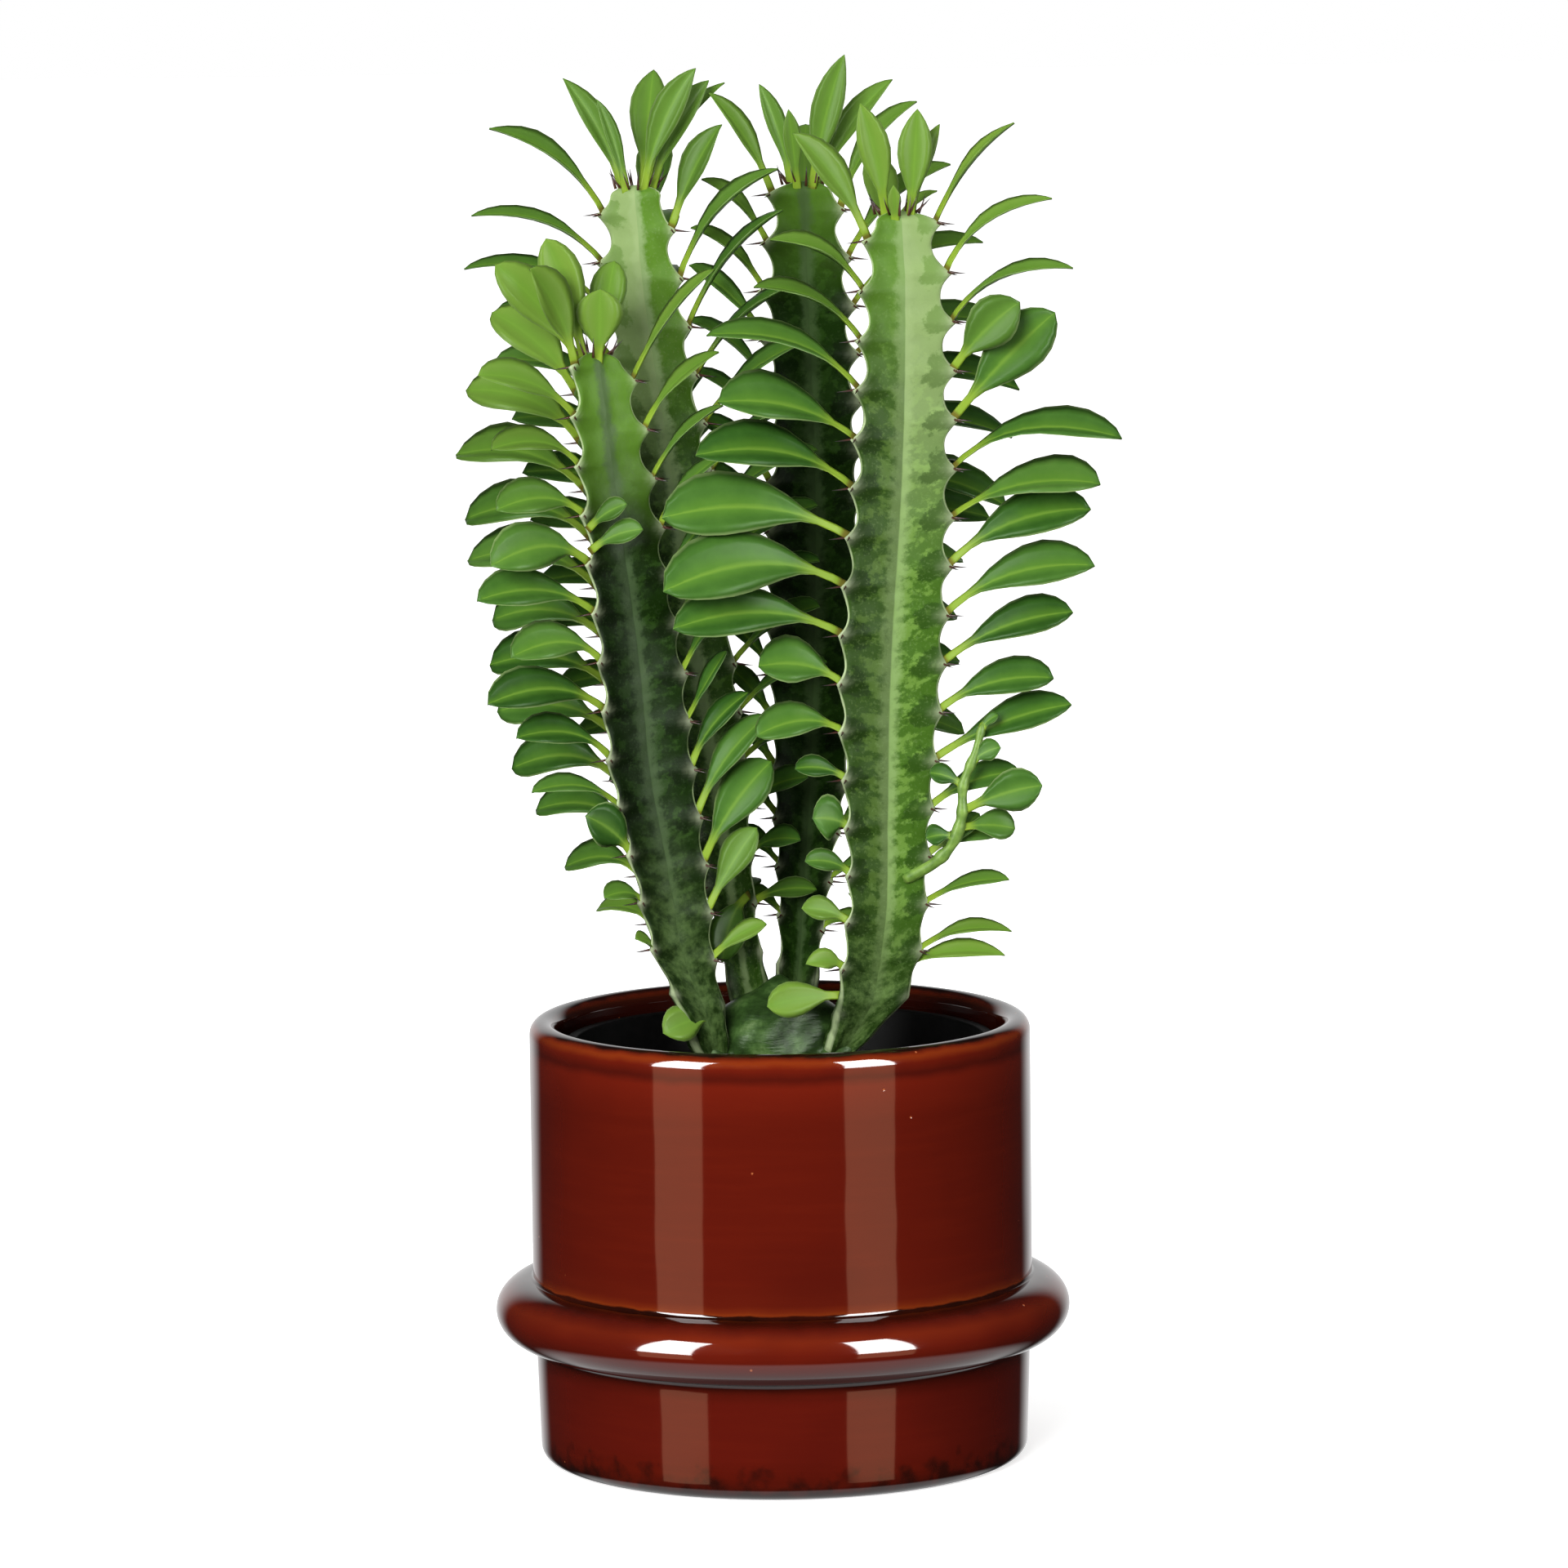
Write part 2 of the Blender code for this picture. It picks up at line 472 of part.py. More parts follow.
def plant_layout():
    """Every mesh of the trunk and the stems: a dict from name to its list of closed meshes."""
    crowd = Crowd()
    crowd.add(pot_guard(), "pot")
    pieces = {"trunk": [trunk_mesh()]}
    for stem in STEMS:
        pieces[stem.name] = [stem_mesh(stem)]
        pieces["trunk"].append(collar_mesh(stem))
        crowd.add(pieces[stem.name][0], (stem.name, "body"))
        crowd.add(pieces["trunk"][-1], (stem.name, "body"))
    shoot = shoot_mesh()
    pieces[FRONT_RIGHT.name].append(shoot)
    crowd.add(shoot, (FRONT_RIGHT.name, "body"))
    for stem in STEMS:
        for ridge in (0, 1, 2):
            bearing = ridge_bearing(stem, ridge)
            for z in tubercle_levels(stem, ridge)[::SPINE_EVERY]:
                centre, radius = stem_centre(stem, z)
                for hand in (-1, 1):
                    root = (centre + (radius - SPINE_INSET) * compass(bearing)
                            + hand * SPINE_APART * compass(bearing + 90))
                    spine = spine_mesh(root, bearing + hand * SPINE_SPREAD)
                    if not crowd.touches(spine, (stem.name, "body")):
                        pieces[stem.name].append(spine)
                        crowd.add(spine, (stem.name, "body"))
    for share, bearing, leafing in SHOOT_LEAVES:
        place_leaf(crowd, pieces[FRONT_RIGHT.name], FRONT_RIGHT, smooth_path(SHOOT_PATH, share),
                   bearing, leafing)
    for stem in STEMS:
        for root, bearing, leafing in stem.singles:
            home = pieces[stem.name if root[2] > stem.joint else "trunk"]
            place_leaf(crowd, home, stem, np.array(root, float), bearing, leafing)
    for number, stem in enumerate(STEMS):
        rng = np.random.default_rng(SEED + number)
        for ridge in (0, 1, 2):
            bearing = ridge_bearing(stem, ridge)
            for z in tubercle_levels(stem, ridge):
                leafing = leafing_at(stem.ridges[ridge], z, rng)
                centre, radius = stem_centre(stem, z)
                root = (centre + (radius - LEAF_SINK) * compass(bearing)
                        + LEAF_ASIDE * compass(bearing + 90))
                place_leaf(crowd, pieces[stem.name], stem, root, bearing, leafing)
        centre, radius = stem_centre(stem, stem.axis[-1][2])
        for bearing, leafing in stem.tuft:
            root = centre + TUFT_REACH * radius * compass(bearing) - np.array([0, 0, LEAF_SINK])
            place_leaf(crowd, pieces[stem.name], stem, root, bearing, leafing)
    return pieces


def place_leaf(crowd, meshes, stem, root, bearing, leafing):
    """Add a leaf in the first of the tries that keeps it clear, or leave it out."""
    for turn, lift, share in TRIES:
        trial = changed(leafing, turn, lift, share)
        mesh = leaf_mesh(root, bearing + trial.swing, trial, CLEARANCE)
        if not crowd.touches(mesh, (stem.name, "body")):
            mesh = leaf_mesh(root, bearing + trial.swing, trial)
            meshes.append(mesh)
            crowd.add(mesh, (stem.name, "leaf"))
            return


# Solids
def new_material(name, colour, roughness, metallic=0.0):
    """Plain Principled material from an sRGB hex colour."""
    material = bpy.data.materials.new(name)
    material.use_nodes = True
    shader = material.node_tree.nodes["Principled BSDF"]
    channels = [int(colour[i:i + 2], 16) / 255 for i in (0, 2, 4)]
    linear = [c / 12.92 if c <= 0.04045 else ((c + 0.055) / 1.055) ** 2.4 for c in channels]
    shader.inputs["Base Color"].default_value = (*linear, 1.0)
    shader.inputs["Roughness"].default_value = roughness
    shader.inputs["Metallic"].default_value = metallic
    material.diffuse_color = (*linear, 1.0)
    return material


def mesh_object(name, verts, faces, material, collection):
    """Object from points in millimetres and their faces."""
    mesh = bpy.data.meshes.new(name)
    mesh.from_pydata([tuple(float(c) * MM for c in v) for v in verts], [], faces)
    mesh.materials.append(material)
    obj = bpy.data.objects.new(name, mesh)
    collection.objects.link(obj)
    return obj


def turned_object(name, profile, steps, material, collection):
    """Object turned round the Z axis from a profile of (radius, height), outer side downwards."""
    mesh = bpy.data.meshes.new(name)
    edges = [(i, i + 1) for i in range(len(profile) - 1)]
    mesh.from_pydata([(r * MM, 0.0, z * MM) for r, z in profile], edges, [])
    mesh.materials.append(material)
    obj = bpy.data.objects.new(name, mesh)
    collection.objects.link(obj)
    screw = obj.modifiers.new("turn", "SCREW")
    screw.steps = steps
    screw.render_steps = steps
    screw.use_merge_vertices = True
    screw.merge_threshold = 0.00001
    screw.use_normal_calculate = False
    return obj


def apply_modifiers(obj):
    """Replace an object's mesh by its evaluated mesh."""
    depsgraph = bpy.context.evaluated_depsgraph_get()
    mesh = bpy.data.meshes.new_from_object(obj.evaluated_get(depsgraph))
    obj.modifiers.clear()
    obj.data = mesh


def arc(centre_radius, centre_height, deep, high, start, stop, count):
    """Points of an elliptical arc in a turned profile, by angle from the outward direction."""
    return [(centre_radius + deep * math.cos(math.radians(a)),
             centre_height + high * math.sin(math.radians(a)))
            for a in np.linspace(start, stop, count)]


def build_planter(collection):
    """Glazed pot with a rounded lip, a half-round ring and a flat underside."""
    wall = (POT_RADIUS - POT_MOUTH_RADIUS) / 2
    lip_height = POT_HEIGHT - wall
    ring_radius = RING_REACH - RING_DEEP
    top_turn = math.degrees(math.acos((POT_RADIUS - ring_radius) / RING_DEEP))
    low_turn = math.degrees(math.acos((POT_WAIST_RADIUS - ring_radius) / RING_DEEP))
    profile = [(0, POT_FLOOR), (POT_FLOOR_RADIUS - 5, POT_FLOOR),
               (POT_FLOOR_RADIUS, POT_FLOOR + 5)]
    profile += arc(POT_RADIUS - wall, lip_height, wall, wall, 180, 0, 5)
    profile += arc(ring_radius, RING_CENTRE, RING_DEEP, RING_HALF, top_turn, -low_turn, 8)
    profile += arc(POT_FOOT_RADIUS - FOOT_ROUND, FOOT_ROUND, FOOT_ROUND, FOOT_ROUND, 0, -90, 3)
    profile.append((0, 0))
    glaze = new_material("oxblood_glaze", "7A2010", 0.12)
    turned_object("planter", profile, POT_STEPS, glaze, collection)


def build_grow_pot(collection, cutters):
    """Thin black pot that stands loose inside the planter."""
    base = POT_FLOOR + GAP
    inside = GROW_TOP_RADIUS - GROW_WALL
    profile = [(0, base + GROW_WALL), (GROW_BASE_RADIUS - GROW_WALL, base + GROW_WALL),
               (inside, GROW_TOP), (GROW_LIP_RADIUS, GROW_TOP),
               (GROW_LIP_RADIUS, GROW_TOP - GROW_LIP_DEPTH),
               (GROW_TOP_RADIUS - 0.4, GROW_TOP - GROW_LIP_DEPTH), (GROW_BASE_RADIUS, base),
               (0, base)]
    black = new_material("black_plastic", "101010", 0.45)
    pot = turned_object("grow_pot", profile, GROW_STEPS, black, collection)
    for i in range(4):
        bearing = compass(45 + 90 * i) * DRAIN_CIRCLE * MM
        mesh = bpy.data.meshes.new("drain")
        shape = bmesh.new()
        bmesh.ops.create_cone(shape, cap_ends=True, segments=10, radius1=DRAIN_RADIUS * MM,
                              radius2=DRAIN_RADIUS * MM, depth=8 * MM)
        shape.to_mesh(mesh)
        shape.free()
        cutter = bpy.data.objects.new("drain_cutter", mesh)
        cutter.location = (bearing[0], bearing[1], (base + GROW_WALL / 2) * MM)
        cutter.hide_render = True
        cutter.display_type = "WIRE"
        cutters.objects.link(cutter)
        cut = pot.modifiers.new("drain", "BOOLEAN")
        cut.operation = "DIFFERENCE"
        cut.object = cutter


def soil_side(z):
    """Radius of the soil at a height, just inside the grow pot's wall."""
    low = POT_FLOOR + GAP + GROW_WALL
    inside = np.interp(z, (low, GROW_TOP), (GROW_BASE_RADIUS - GROW_WALL,
                                            GROW_TOP_RADIUS - GROW_WALL))
    return float(inside) - 0.4


def build_soil(collection):
    """Peat that fills the grow pot, with a plain hole for the trunk's foot."""
    floor = POT_FLOOR + GAP + GROW_WALL + GAP
    hole = TRUNK_FOOT_RADIUS + GAP + 0.2
    profile = [(0, SOIL_TOP - SOIL_HOLE_DEPTH), (hole, SOIL_TOP - SOIL_HOLE_DEPTH),
               (hole, SOIL_TOP + 1.5), (32, SOIL_TOP + 2.0), (48, SOIL_TOP + 0.6),
               (soil_side(SOIL_TOP - 1.0), SOIL_TOP - 1.0), (soil_side(floor), floor), (0, floor)]
    peat = new_material("peat", "1C140F", 0.95)
    turned_object("soil", profile, SOIL_STEPS, peat, collection)


def join_union(name, meshes, material, collection):
    """One closed body from overlapping closed meshes: a union of the first with all the rest."""
    body = mesh_object(name, *meshes[0], material, collection)
    extras = bpy.data.collections.new(name + "_extras")
    bpy.context.scene.collection.children.link(extras)
    for i, mesh in enumerate(meshes[1:]):
        mesh_object(f"{name}_extra_{i}", *mesh, material, extras)
    union = body.modifiers.new("grow", "BOOLEAN")
    union.operation = "UNION"
    union.operand_type = "COLLECTION"
    union.collection = extras
    union.solver = "EXACT"
    union.use_self = False
    apply_modifiers(body)
    for obj in list(extras.objects):
        bpy.data.objects.remove(obj)
    bpy.data.collections.remove(extras)
    return body


def build_plant(collection):
    """The trunk with its collars, and each leafy stem as one body."""
    bark = new_material("old_green_skin", "55705A", 0.6)
    green = new_material("green_skin", "4C7A34", 0.45)
    for name, meshes in plant_layout().items():
        join_union(name, meshes, bark if name == "trunk" else green.copy(), collection)


def main():
    for obj in list(bpy.data.objects):
        bpy.data.objects.remove(obj)
    collection = bpy.data.collections.new("african_milk_tree")
    cutters = bpy.data.collections.new("cutters")
    bpy.context.scene.collection.children.link(collection)
    bpy.context.scene.collection.children.link(cutters)
    build_planter(collection)
    build_grow_pot(collection, cutters)
    build_soil(collection)
    build_plant(collection)
    for obj in collection.objects:
        obj.data.shade_smooth()
        obj.data.set_sharp_from_angle(angle=math.radians(35))


main()
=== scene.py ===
"""Looks of the potted African milk tree: glazed planter, grow pot, peat, trunk and leafy stems.

Lengths are in millimetres and angles in degrees, in the part's own frame: +Z up, -Y the front, and
the planter's axis at x = y = 0. MM turns a length into metres as a mesh or material is made. The
plant's layout is worked out by the same rule as the part's, so each leaf lies where its solid is.
"""
import math
from collections import namedtuple
from functools import partial

import bpy
import numpy as np
from mathutils import Matrix, Vector
from mathutils.bvhtree import BVHTree


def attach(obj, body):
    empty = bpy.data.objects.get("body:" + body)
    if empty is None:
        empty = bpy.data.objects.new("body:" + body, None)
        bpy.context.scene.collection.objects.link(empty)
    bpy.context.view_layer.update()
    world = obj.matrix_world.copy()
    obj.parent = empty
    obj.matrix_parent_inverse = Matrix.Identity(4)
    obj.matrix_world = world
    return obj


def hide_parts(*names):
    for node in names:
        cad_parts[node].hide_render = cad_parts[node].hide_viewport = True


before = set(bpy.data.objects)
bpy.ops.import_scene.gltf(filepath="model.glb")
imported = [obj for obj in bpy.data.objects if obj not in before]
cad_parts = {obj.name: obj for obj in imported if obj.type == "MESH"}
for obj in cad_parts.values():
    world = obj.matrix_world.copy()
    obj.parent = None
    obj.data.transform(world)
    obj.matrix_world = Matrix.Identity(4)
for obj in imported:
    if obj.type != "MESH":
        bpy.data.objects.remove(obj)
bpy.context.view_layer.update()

MM = 0.001
GAP = 0.3
UP = np.array((0.0, 0.0, 1.0))

# Camera: where it stands, the point it looks at, its slight roll, and its lens
CAMERA_PLACE = (0.0, -2500.0, 530.0)
CAMERA_AIM = (2.2, 0.0, 202.6)
CAMERA_ROLL = -0.7
CAMERA_LENS = 194.0
SENSOR = 36.0

# Planter: its walls, lip, half-round ring and foot
POT_HEIGHT = 132.5
POT_RADIUS = 75.0
POT_WAIST_RADIUS = 74.2
POT_FOOT_RADIUS = 73.2
POT_MOUTH_RADIUS = 66.6
POT_FLOOR_RADIUS = 64.8
POT_FLOOR = 9.0
RING_CENTRE = 45.0
RING_DEEP = 12.0
RING_HALF = 9.8
RING_REACH = 86.2
RING_COVE = 1.6
FOOT_ROUND = 4.0

# Grow pot: thin and tapered, with a lip
GROW_TOP = 126.0
GROW_LIP_RADIUS = 64.6
GROW_TOP_RADIUS = 62.6
GROW_BASE_RADIUS = 54.0
GROW_WALL = 1.2
GROW_LIP_DEPTH = 5.0
DRAIN_RADIUS = 4.0
DRAIN_CIRCLE = 36.0

# Soil and the trunk that stands in it
SOIL_TOP = 113.0
SOIL_HOLE_DEPTH = 34.0
TRUNK_FOOT_RADIUS = 16.0
TRUNK_BULGE = ((118.0, 16.0), (122.0, 18.8), (130.0, 18.5), (137.0, 16.0), (142.5, 8.0))

# Stems: the tubercles of the three ridges take turns up the stem, a third of a pitch apart
PITCH = 14.4
CROWN = 2.0
VALLEY = 0.40
SCALLOP = 0.17
LEAF_SINK = 2.6
LEAF_ASIDE = 0.25
TUFT_REACH = 0.3
SEED = 27

# Leaves of the solids: stations along the blade, and the half width there as a share of the widest
STATIONS = (0.0, 0.2, 0.45, 0.76)
WIDTH_SHARE = (0.0, 0.0, 0.84, 0.96)
PETIOLE_HALF = 1.15
BLADE_THICK = 1.25
FOLD = 0.30
LIGHT_BEARING = -90.0

# Spines: the solids have a pair of three-sided thorns on every third tubercle of a ridge
SPINE_LENGTH = 5.0
SPINE_HALF = 0.5
SPINE_SPREAD = 40.0
SPINE_FALL = -12.0
SPINE_INSET = 1.3
SPINE_APART = 0.75
SPINE_EVERY = 3

# A stem: the height where the trunk's collar ends and the stem begins, the bearing of its open
# face, by how many thirds of a pitch each ridge's tubercles lie below the top, its axis as points
# with the ridge radius there, and its leaves: of each ridge by height, of the tuft at its tip by
# bearing, and single ones by root and bearing, which grow on the trunk where they are lower than
# the joint. Each of these rows ends with the leaf's own numbers
Stem = namedtuple("Stem", "name joint facing order axis ridges tuft singles")
# A leaf: how far its tip goes out and up, the angle the stalk leaves at, the blade's width, the
# turn sideways from the ridge, and the lean of the blade towards the light
Leafing = namedtuple("Leafing", "out up rise width swing lean")

FRONT_RIGHT = Stem(
    "stem_front_right", joint=144, facing=-78, order=(1, 0, 2),
    axis=((10, -6, 117.5, 7.5), (17.5, -8.5, 123, 7), (22, -10.5, 130.5, 8),
          (26.5, -13.5, 140, 12.5), (29, -17, 153, 14.8), (31, -20, 170, 15),
          (31.5, -22, 200, 16.5), (32.5, -23, 240, 19.5), (36.5, -23, 300, 19.3),
          (38, -22, 350, 17.5), (37.5, -21, 373, 13.5)),
    ridges=(
        ((150, 14, 2, 40, 9, -20, 60), (179, 15, 5, 45, 8, -25, 60), (194, 12, 3, 35, 15, -20, 75),
         (208, 16, 3, 40, 8, -30, 50), (222, 25, 0, 32, 14, -30, 55), (237, 27, 6, 36, 16, -30, 50),
         (251, 51, 5, 34, 19, -30, 48), (265, 57, 0, 34, 21, -30, 52),
         (280, 59, 7, 34, 21, -30, 52), (294, 49, 12, 38, 20, -30, 50),
         (309, 41, 12, 42, 19, -30, 50), (323, 43, 17, 52, 13, -30, 32),
         (337, 31, 15, 60, 11, -30, 30), (352, 30, 17, 64, 11, -28, 30),
         (366, 23, 33, 72, 13, -25, 48)),
        ((155, 29, 6, 38, 8, 8, 42), (184, 22, 6, 42, 8, 8, 40), (198, 27, 10, 42, 10, 8, 40),
         (212, 43, 17, 40, 13, 8, 42), (227, 37, 12, 40, 13, 8, 42), (241, 41, 15, 44, 14, 8, 44),
         (256, 43, 16, 44, 15, 6, 44), (270, 43, 16, 42, 16, 6, 44), (285, 44, 12, 40, 18, 6, 44),
         (299, 48, 11, 42, 16, 5, 38), (313, 33, 31, 50, 18, 4, 74), (328, 22, 20, 58, 16, 0, 70),
         (342, 37, 16, 60, 9, 0, 24), (357, 30, 21, 64, 9, 0, 28), (371, 25, 28, 70, 8, 0, 25)),
        ((150, 24, 4, 45, 11, -10, 20), (210, 36, 2, 45, 15, -35, 25),
         (290, 44, 4, 50, 17, -40, 25), (345, 34, 18, 62, 14, -20, 20),
         (372, 20, 34, 76, 12, 0, 20))),
    tuft=((215, 9, 36, 84, 12, 0, 65), (-30, 3, 34, 84, 13, 0, 65), (25, 10, 29, 82, 7, 0, 40),
          (-100, 3, 12, 80, 5, 0, 50), (95, 15, 9, 50, 5, -60, 30)),
    singles=((20.5, -19, 141.5, 195, 25, -2, 5, 11, 0, 75),
             (34, -17.5, 148, -14, 34, 6, 34, 9, 0, 45)))
FRONT_LEFT = Stem(
    "stem_front_left", joint=144, facing=-62, order=(0, 1, 2),
    axis=((-14.5, -9, 117.5, 7), (-20.5, -12.5, 123.5, 6.8), (-22.7, -15.5, 131.5, 7),
          (-25, -19, 140, 9), (-28.5, -22.5, 149.5, 11), (-31.5, -24.5, 160, 13.2),
          (-34.5, -26, 178, 15), (-40, -28, 210, 17.2), (-43, -29, 245, 17.4),
          (-47.5, -29, 285, 16.4), (-51, -29, 318, 15), (-52.5, -28, 333, 12)),
    ridges=(
        ((158, 8, 3, 40, 6, -20, 40), (173, 15, 4, 45, 9, -28, 50), (187, 16, 11, 55, 13, -28, 60),
         (201, 27, 5, 42, 9, -28, 40), (216, 34, 8, 46, 12, -28, 40), (230, 41, 5, 42, 14, -28, 50),
         (245, 27, 3, 48, 14, -28, 40), (259, 36, 4, 44, 15, -28, 50),
         (273, 38, 1, 42, 17, -28, 58), (288, 28, 5, 46, 14, -28, 48),
         (302, 27, 8, 48, 12, -28, 38), (317, 30, 12, 50, 12, -28, 42),
         (331, 16, 28, 74, 15, -10, 45)),
        ((153, 17, 9, 50, 7, 0, 40), (168, 16, 27, 68, 11, 5, 50), (182, 20, 31, 68, 16, 5, 60),
         (197, 22, 29, 68, 10, 5, 30), (225, 13, 19, 66, 8, 5, 25), (254, 18, 20, 64, 8, 5, 20),
         (297, 21, 20, 66, 7, 5, 18), (312, 24, 22, 66, 8, 5, 18), (326, 25, 31, 70, 9, 3, 22)),
        ((150, 16, 3, 40, 9, 25, 30), (185, 30, 3, 40, 13, 32, 42), (230, 42, 4, 38, 17, 35, 48),
         (290, 43, 6, 42, 18, 35, 46), (318, 32, 20, 58, 17, 30, 40),
         (334, 18, 32, 74, 15, 20, 30))),
    tuft=((150, 25, 30, 62, 14, 28, 62), (235, 11, 38, 80, 13, -45, 64),
          (-60, 2, 29, 84, 14, 0, 70), (60, 10, 30, 78, 11, 0, 50)),
    singles=((-18.3, -17.3, 135.5, 218, 20.5, -3, 5, 11.5, 0, 75),
             (-54.3, -40.5, 283.5, -26, 13, 8, 48, 7, 0, 62),
             (-53.8, -40, 277, -22, 17, 7, 42, 8, 0, 62)))
BACK_LEFT = Stem(
    "stem_back_left", joint=147, facing=-100, order=(1, 2, 0),
    axis=((-4.5, 2, 122, 6), (-10, 8, 147, 7.5), (-13, 11, 164, 9), (-17.5, 15, 200, 12.5),
          (-24, 19, 250, 15.5), (-30, 21, 300, 16.5), (-36.5, 21, 345, 16.5), (-39.5, 20, 379, 13)),
    ridges=(
        ((165, 14, 6, 45, 9, -20, 35), (230, 34, 4, 42, 13, -20, 40),
         (327, 36, 14, 52, 13, -12, 32), (341, 40, 12, 54, 10, -10, 26),
         (356, 41, 14, 56, 9, -10, 24), (370, 36, 26, 64, 12, -10, 34)),
        ((164, 20, 3, 35, 8, 35, 60), (178, 16, 6, 45, 9, 20, 40), (230, 30, 16, 55, 12, 20, 30),
         (310, 33, 24, 60, 12, 22, 22), (337, 30, 34, 68, 9, 20, 20), (351, 36, 35, 66, 11, 15, 22),
         (365, 18, 33, 76, 11, 10, 35)),
        ((165, 16, 8, 50, 10, 0, 20), (240, 38, 8, 45, 15, 10, 20), (340, 40, 18, 56, 15, 10, 20),
         (378, 18, 36, 76, 13, 0, 20))),
    tuft=((160, 18, 36, 78, 10, 15, 45), (225, 9, 30, 82, 6, -30, 40),
          (-65, 17, 39, 82, 12, 50, 60), (0, 18, 35, 78, 11, 0, 50), (65, 25, 34, 74, 8, -60, 32)),
    singles=((-8.5, 7, 168.5, -150, 13, -19, -20, 13, 20, 88),))
BACK_RIGHT = Stem(
    "stem_back_right", joint=147, facing=-90, order=(0, 1, 2),
    axis=((2.5, 6, 122, 6), (6, 15, 147, 7.5), (7.5, 20, 164, 9.5), (10, 27, 200, 14),
          (12, 30, 250, 17.5), (12.5, 31, 300, 18), (11, 31, 350, 17.5), (10.5, 30, 379, 13.5)),
    ridges=(
        ((165, 12, 8, 50, 9, 0, 30), (240, 28, 14, 55, 12, -20, 25), (320, 24, 22, 62, 10, -22, 22),
         (348, 21, 20, 64, 9, -20, 22), (363, 20, 21, 66, 9, -20, 25),
         (377, 20, 31, 74, 10, -20, 28)),
        ((165, 16, 8, 50, 9, 20, 30), (230, 42, 0, 40, 15, 28, 35), (320, 46, 4, 45, 15, 28, 32),
         (352, 34, 24, 60, 13, 20, 25), (380, 18, 36, 76, 12, 10, 20)),
        ((165, 18, 8, 50, 10, 0, 20), (240, 40, 6, 45, 15, 0, 20), (340, 42, 16, 55, 15, 0, 20),
         (380, 18, 36, 76, 13, 0, 20))),
    tuft=((150, 10, 33, 82, 8, 15, 45), (-60, 11, 42, 82, 12, 40, 62),
          (20, 23, 34, 74, 10, -15, 45), (240, 5, 26, 82, 7, 0, 50)),
    singles=())
STEMS = (FRONT_RIGHT, FRONT_LEFT, BACK_LEFT, BACK_RIGHT)

# Side shoot of the front right stem: its path and radius, and its leaves by path share and bearing
SHOOT_RADIUS = 1.6
SHOOT_PATH = ((38, -24, 177), (46.5, -29, 182.5), (52, -31, 189), (54.5, -32, 197), (55, -32, 206),
              (58.5, -32, 215), (61, -31.5, 224))
SHOOT_LEAVES = ((0.22, 20, 12, 12, 55, 6, 0, 60), (0.36, 190, 9, 0, 20, 7, 0, 65),
                (0.42, -8, 17, -1, 10, 10, 20, 60), (0.52, -12, 24, 8, 30, 13, 0, 78),
                (0.66, 185, 10, 4, 40, 7, 0, 60), (0.78, -15, 9, 5, 50, 7, 0, 65),
                (0.97, -10, 5, 4, 60, 4, 0, 50))

# How far a leaf on a ridge may differ from its row, as a share and as an amount of each number
VARY_SHARE = np.array((0.07, 0, 0, 0.08, 0, 0))
VARY_BY = np.array((0, 2.0, 5.0, 0, 7.0, 9.0))

# What a leaf tries in turn where it would touch its surroundings: turn, lift and share of length
TRIES = ((0, 0, 1), (12, 0, 1), (-12, 0, 1), (0, 6, 1), (0, -6, 1), (24, 3, 0.95), (-24, 3, 0.95),
         (0, 12, 0.9), (40, 4, 0.9), (-40, 4, 0.9), (0, 5, 0.75), (25, 8, 0.75), (-25, 8, 0.75),
         (50, 8, 0.75), (-50, 8, 0.75), (0, 12, 0.6), (30, 12, 0.6), (-30, 12, 0.6), (0, 8, 0.45))
CLEARANCE = 0.45

# Looks: how finely turned pieces are drawn, and how many crumbs lie on the soil and their size
TURN_COLUMNS = 160
CRUMBS = 420
CRUMB_SIZE = 1.7

# Skin of a stem: its rows, the points from a ridge to a valley, the half thickness of a ridge's
# edge, how it swells at a tubercle and sways between two, how far it is bitten in there, the
# valley's depth, how the faces bow and roll, and how wide they are. The ROOT values hold where the
# form is lost in the trunk. The lower end is narrowed, and the crown is rounded
STEM_ROW = 0.9
FACE_SHARES = (0.0, 0.03, 0.08, 0.18, 0.34, 0.52, 0.70, 0.86, 0.97, 1.0)
RIDGE_EDGE = 0.6
TUBERCLE_SWELL = 0.5
SWELL_LENGTH = 1.5
SWAY = 0.55
BITE = 5.2
LOOK_VALLEY = 0.34
BOW = 0.035
ROLL = 0.12
FACE_WIDTH = 16.0
ROOT_EDGE = 3.0
ROOT_VALLEY = 0.66
ROOT_BOW = -0.06
SKIN_FOOT = 0.6
CROWN_DEPTH = 1.6
CROWN_ROUND = 3.11

# Skin of a leaf: its rows, its fold, the half width of its stalk and tip, its ripple, how high its
# rib stands and how deep its keel lies, and how far the young leaves of two stems are plainer
LEAF_ROWS = (0.0, 0.1, 0.2, 0.29, 0.39, 0.5, 0.61, 0.72, 0.82, 0.9, 0.96, 1.0)
LEAF_FOLD = 0.36
STALK_HALF = 1.3
TIP_HALF = 0.1
RIPPLE = 0.045
RIB = 0.30
KEEL = 0.95
TIP_KEEL = 0.40
YOUTH = {"stem_back_left": 0.35, "stem_back_right": 0.5}

# Spines: how many stand round a crown, their half thickness, and how far their points bend up
CROWN_SPINES = 12
SPINE_THICK = 0.45
SPINE_BEND = 0.5

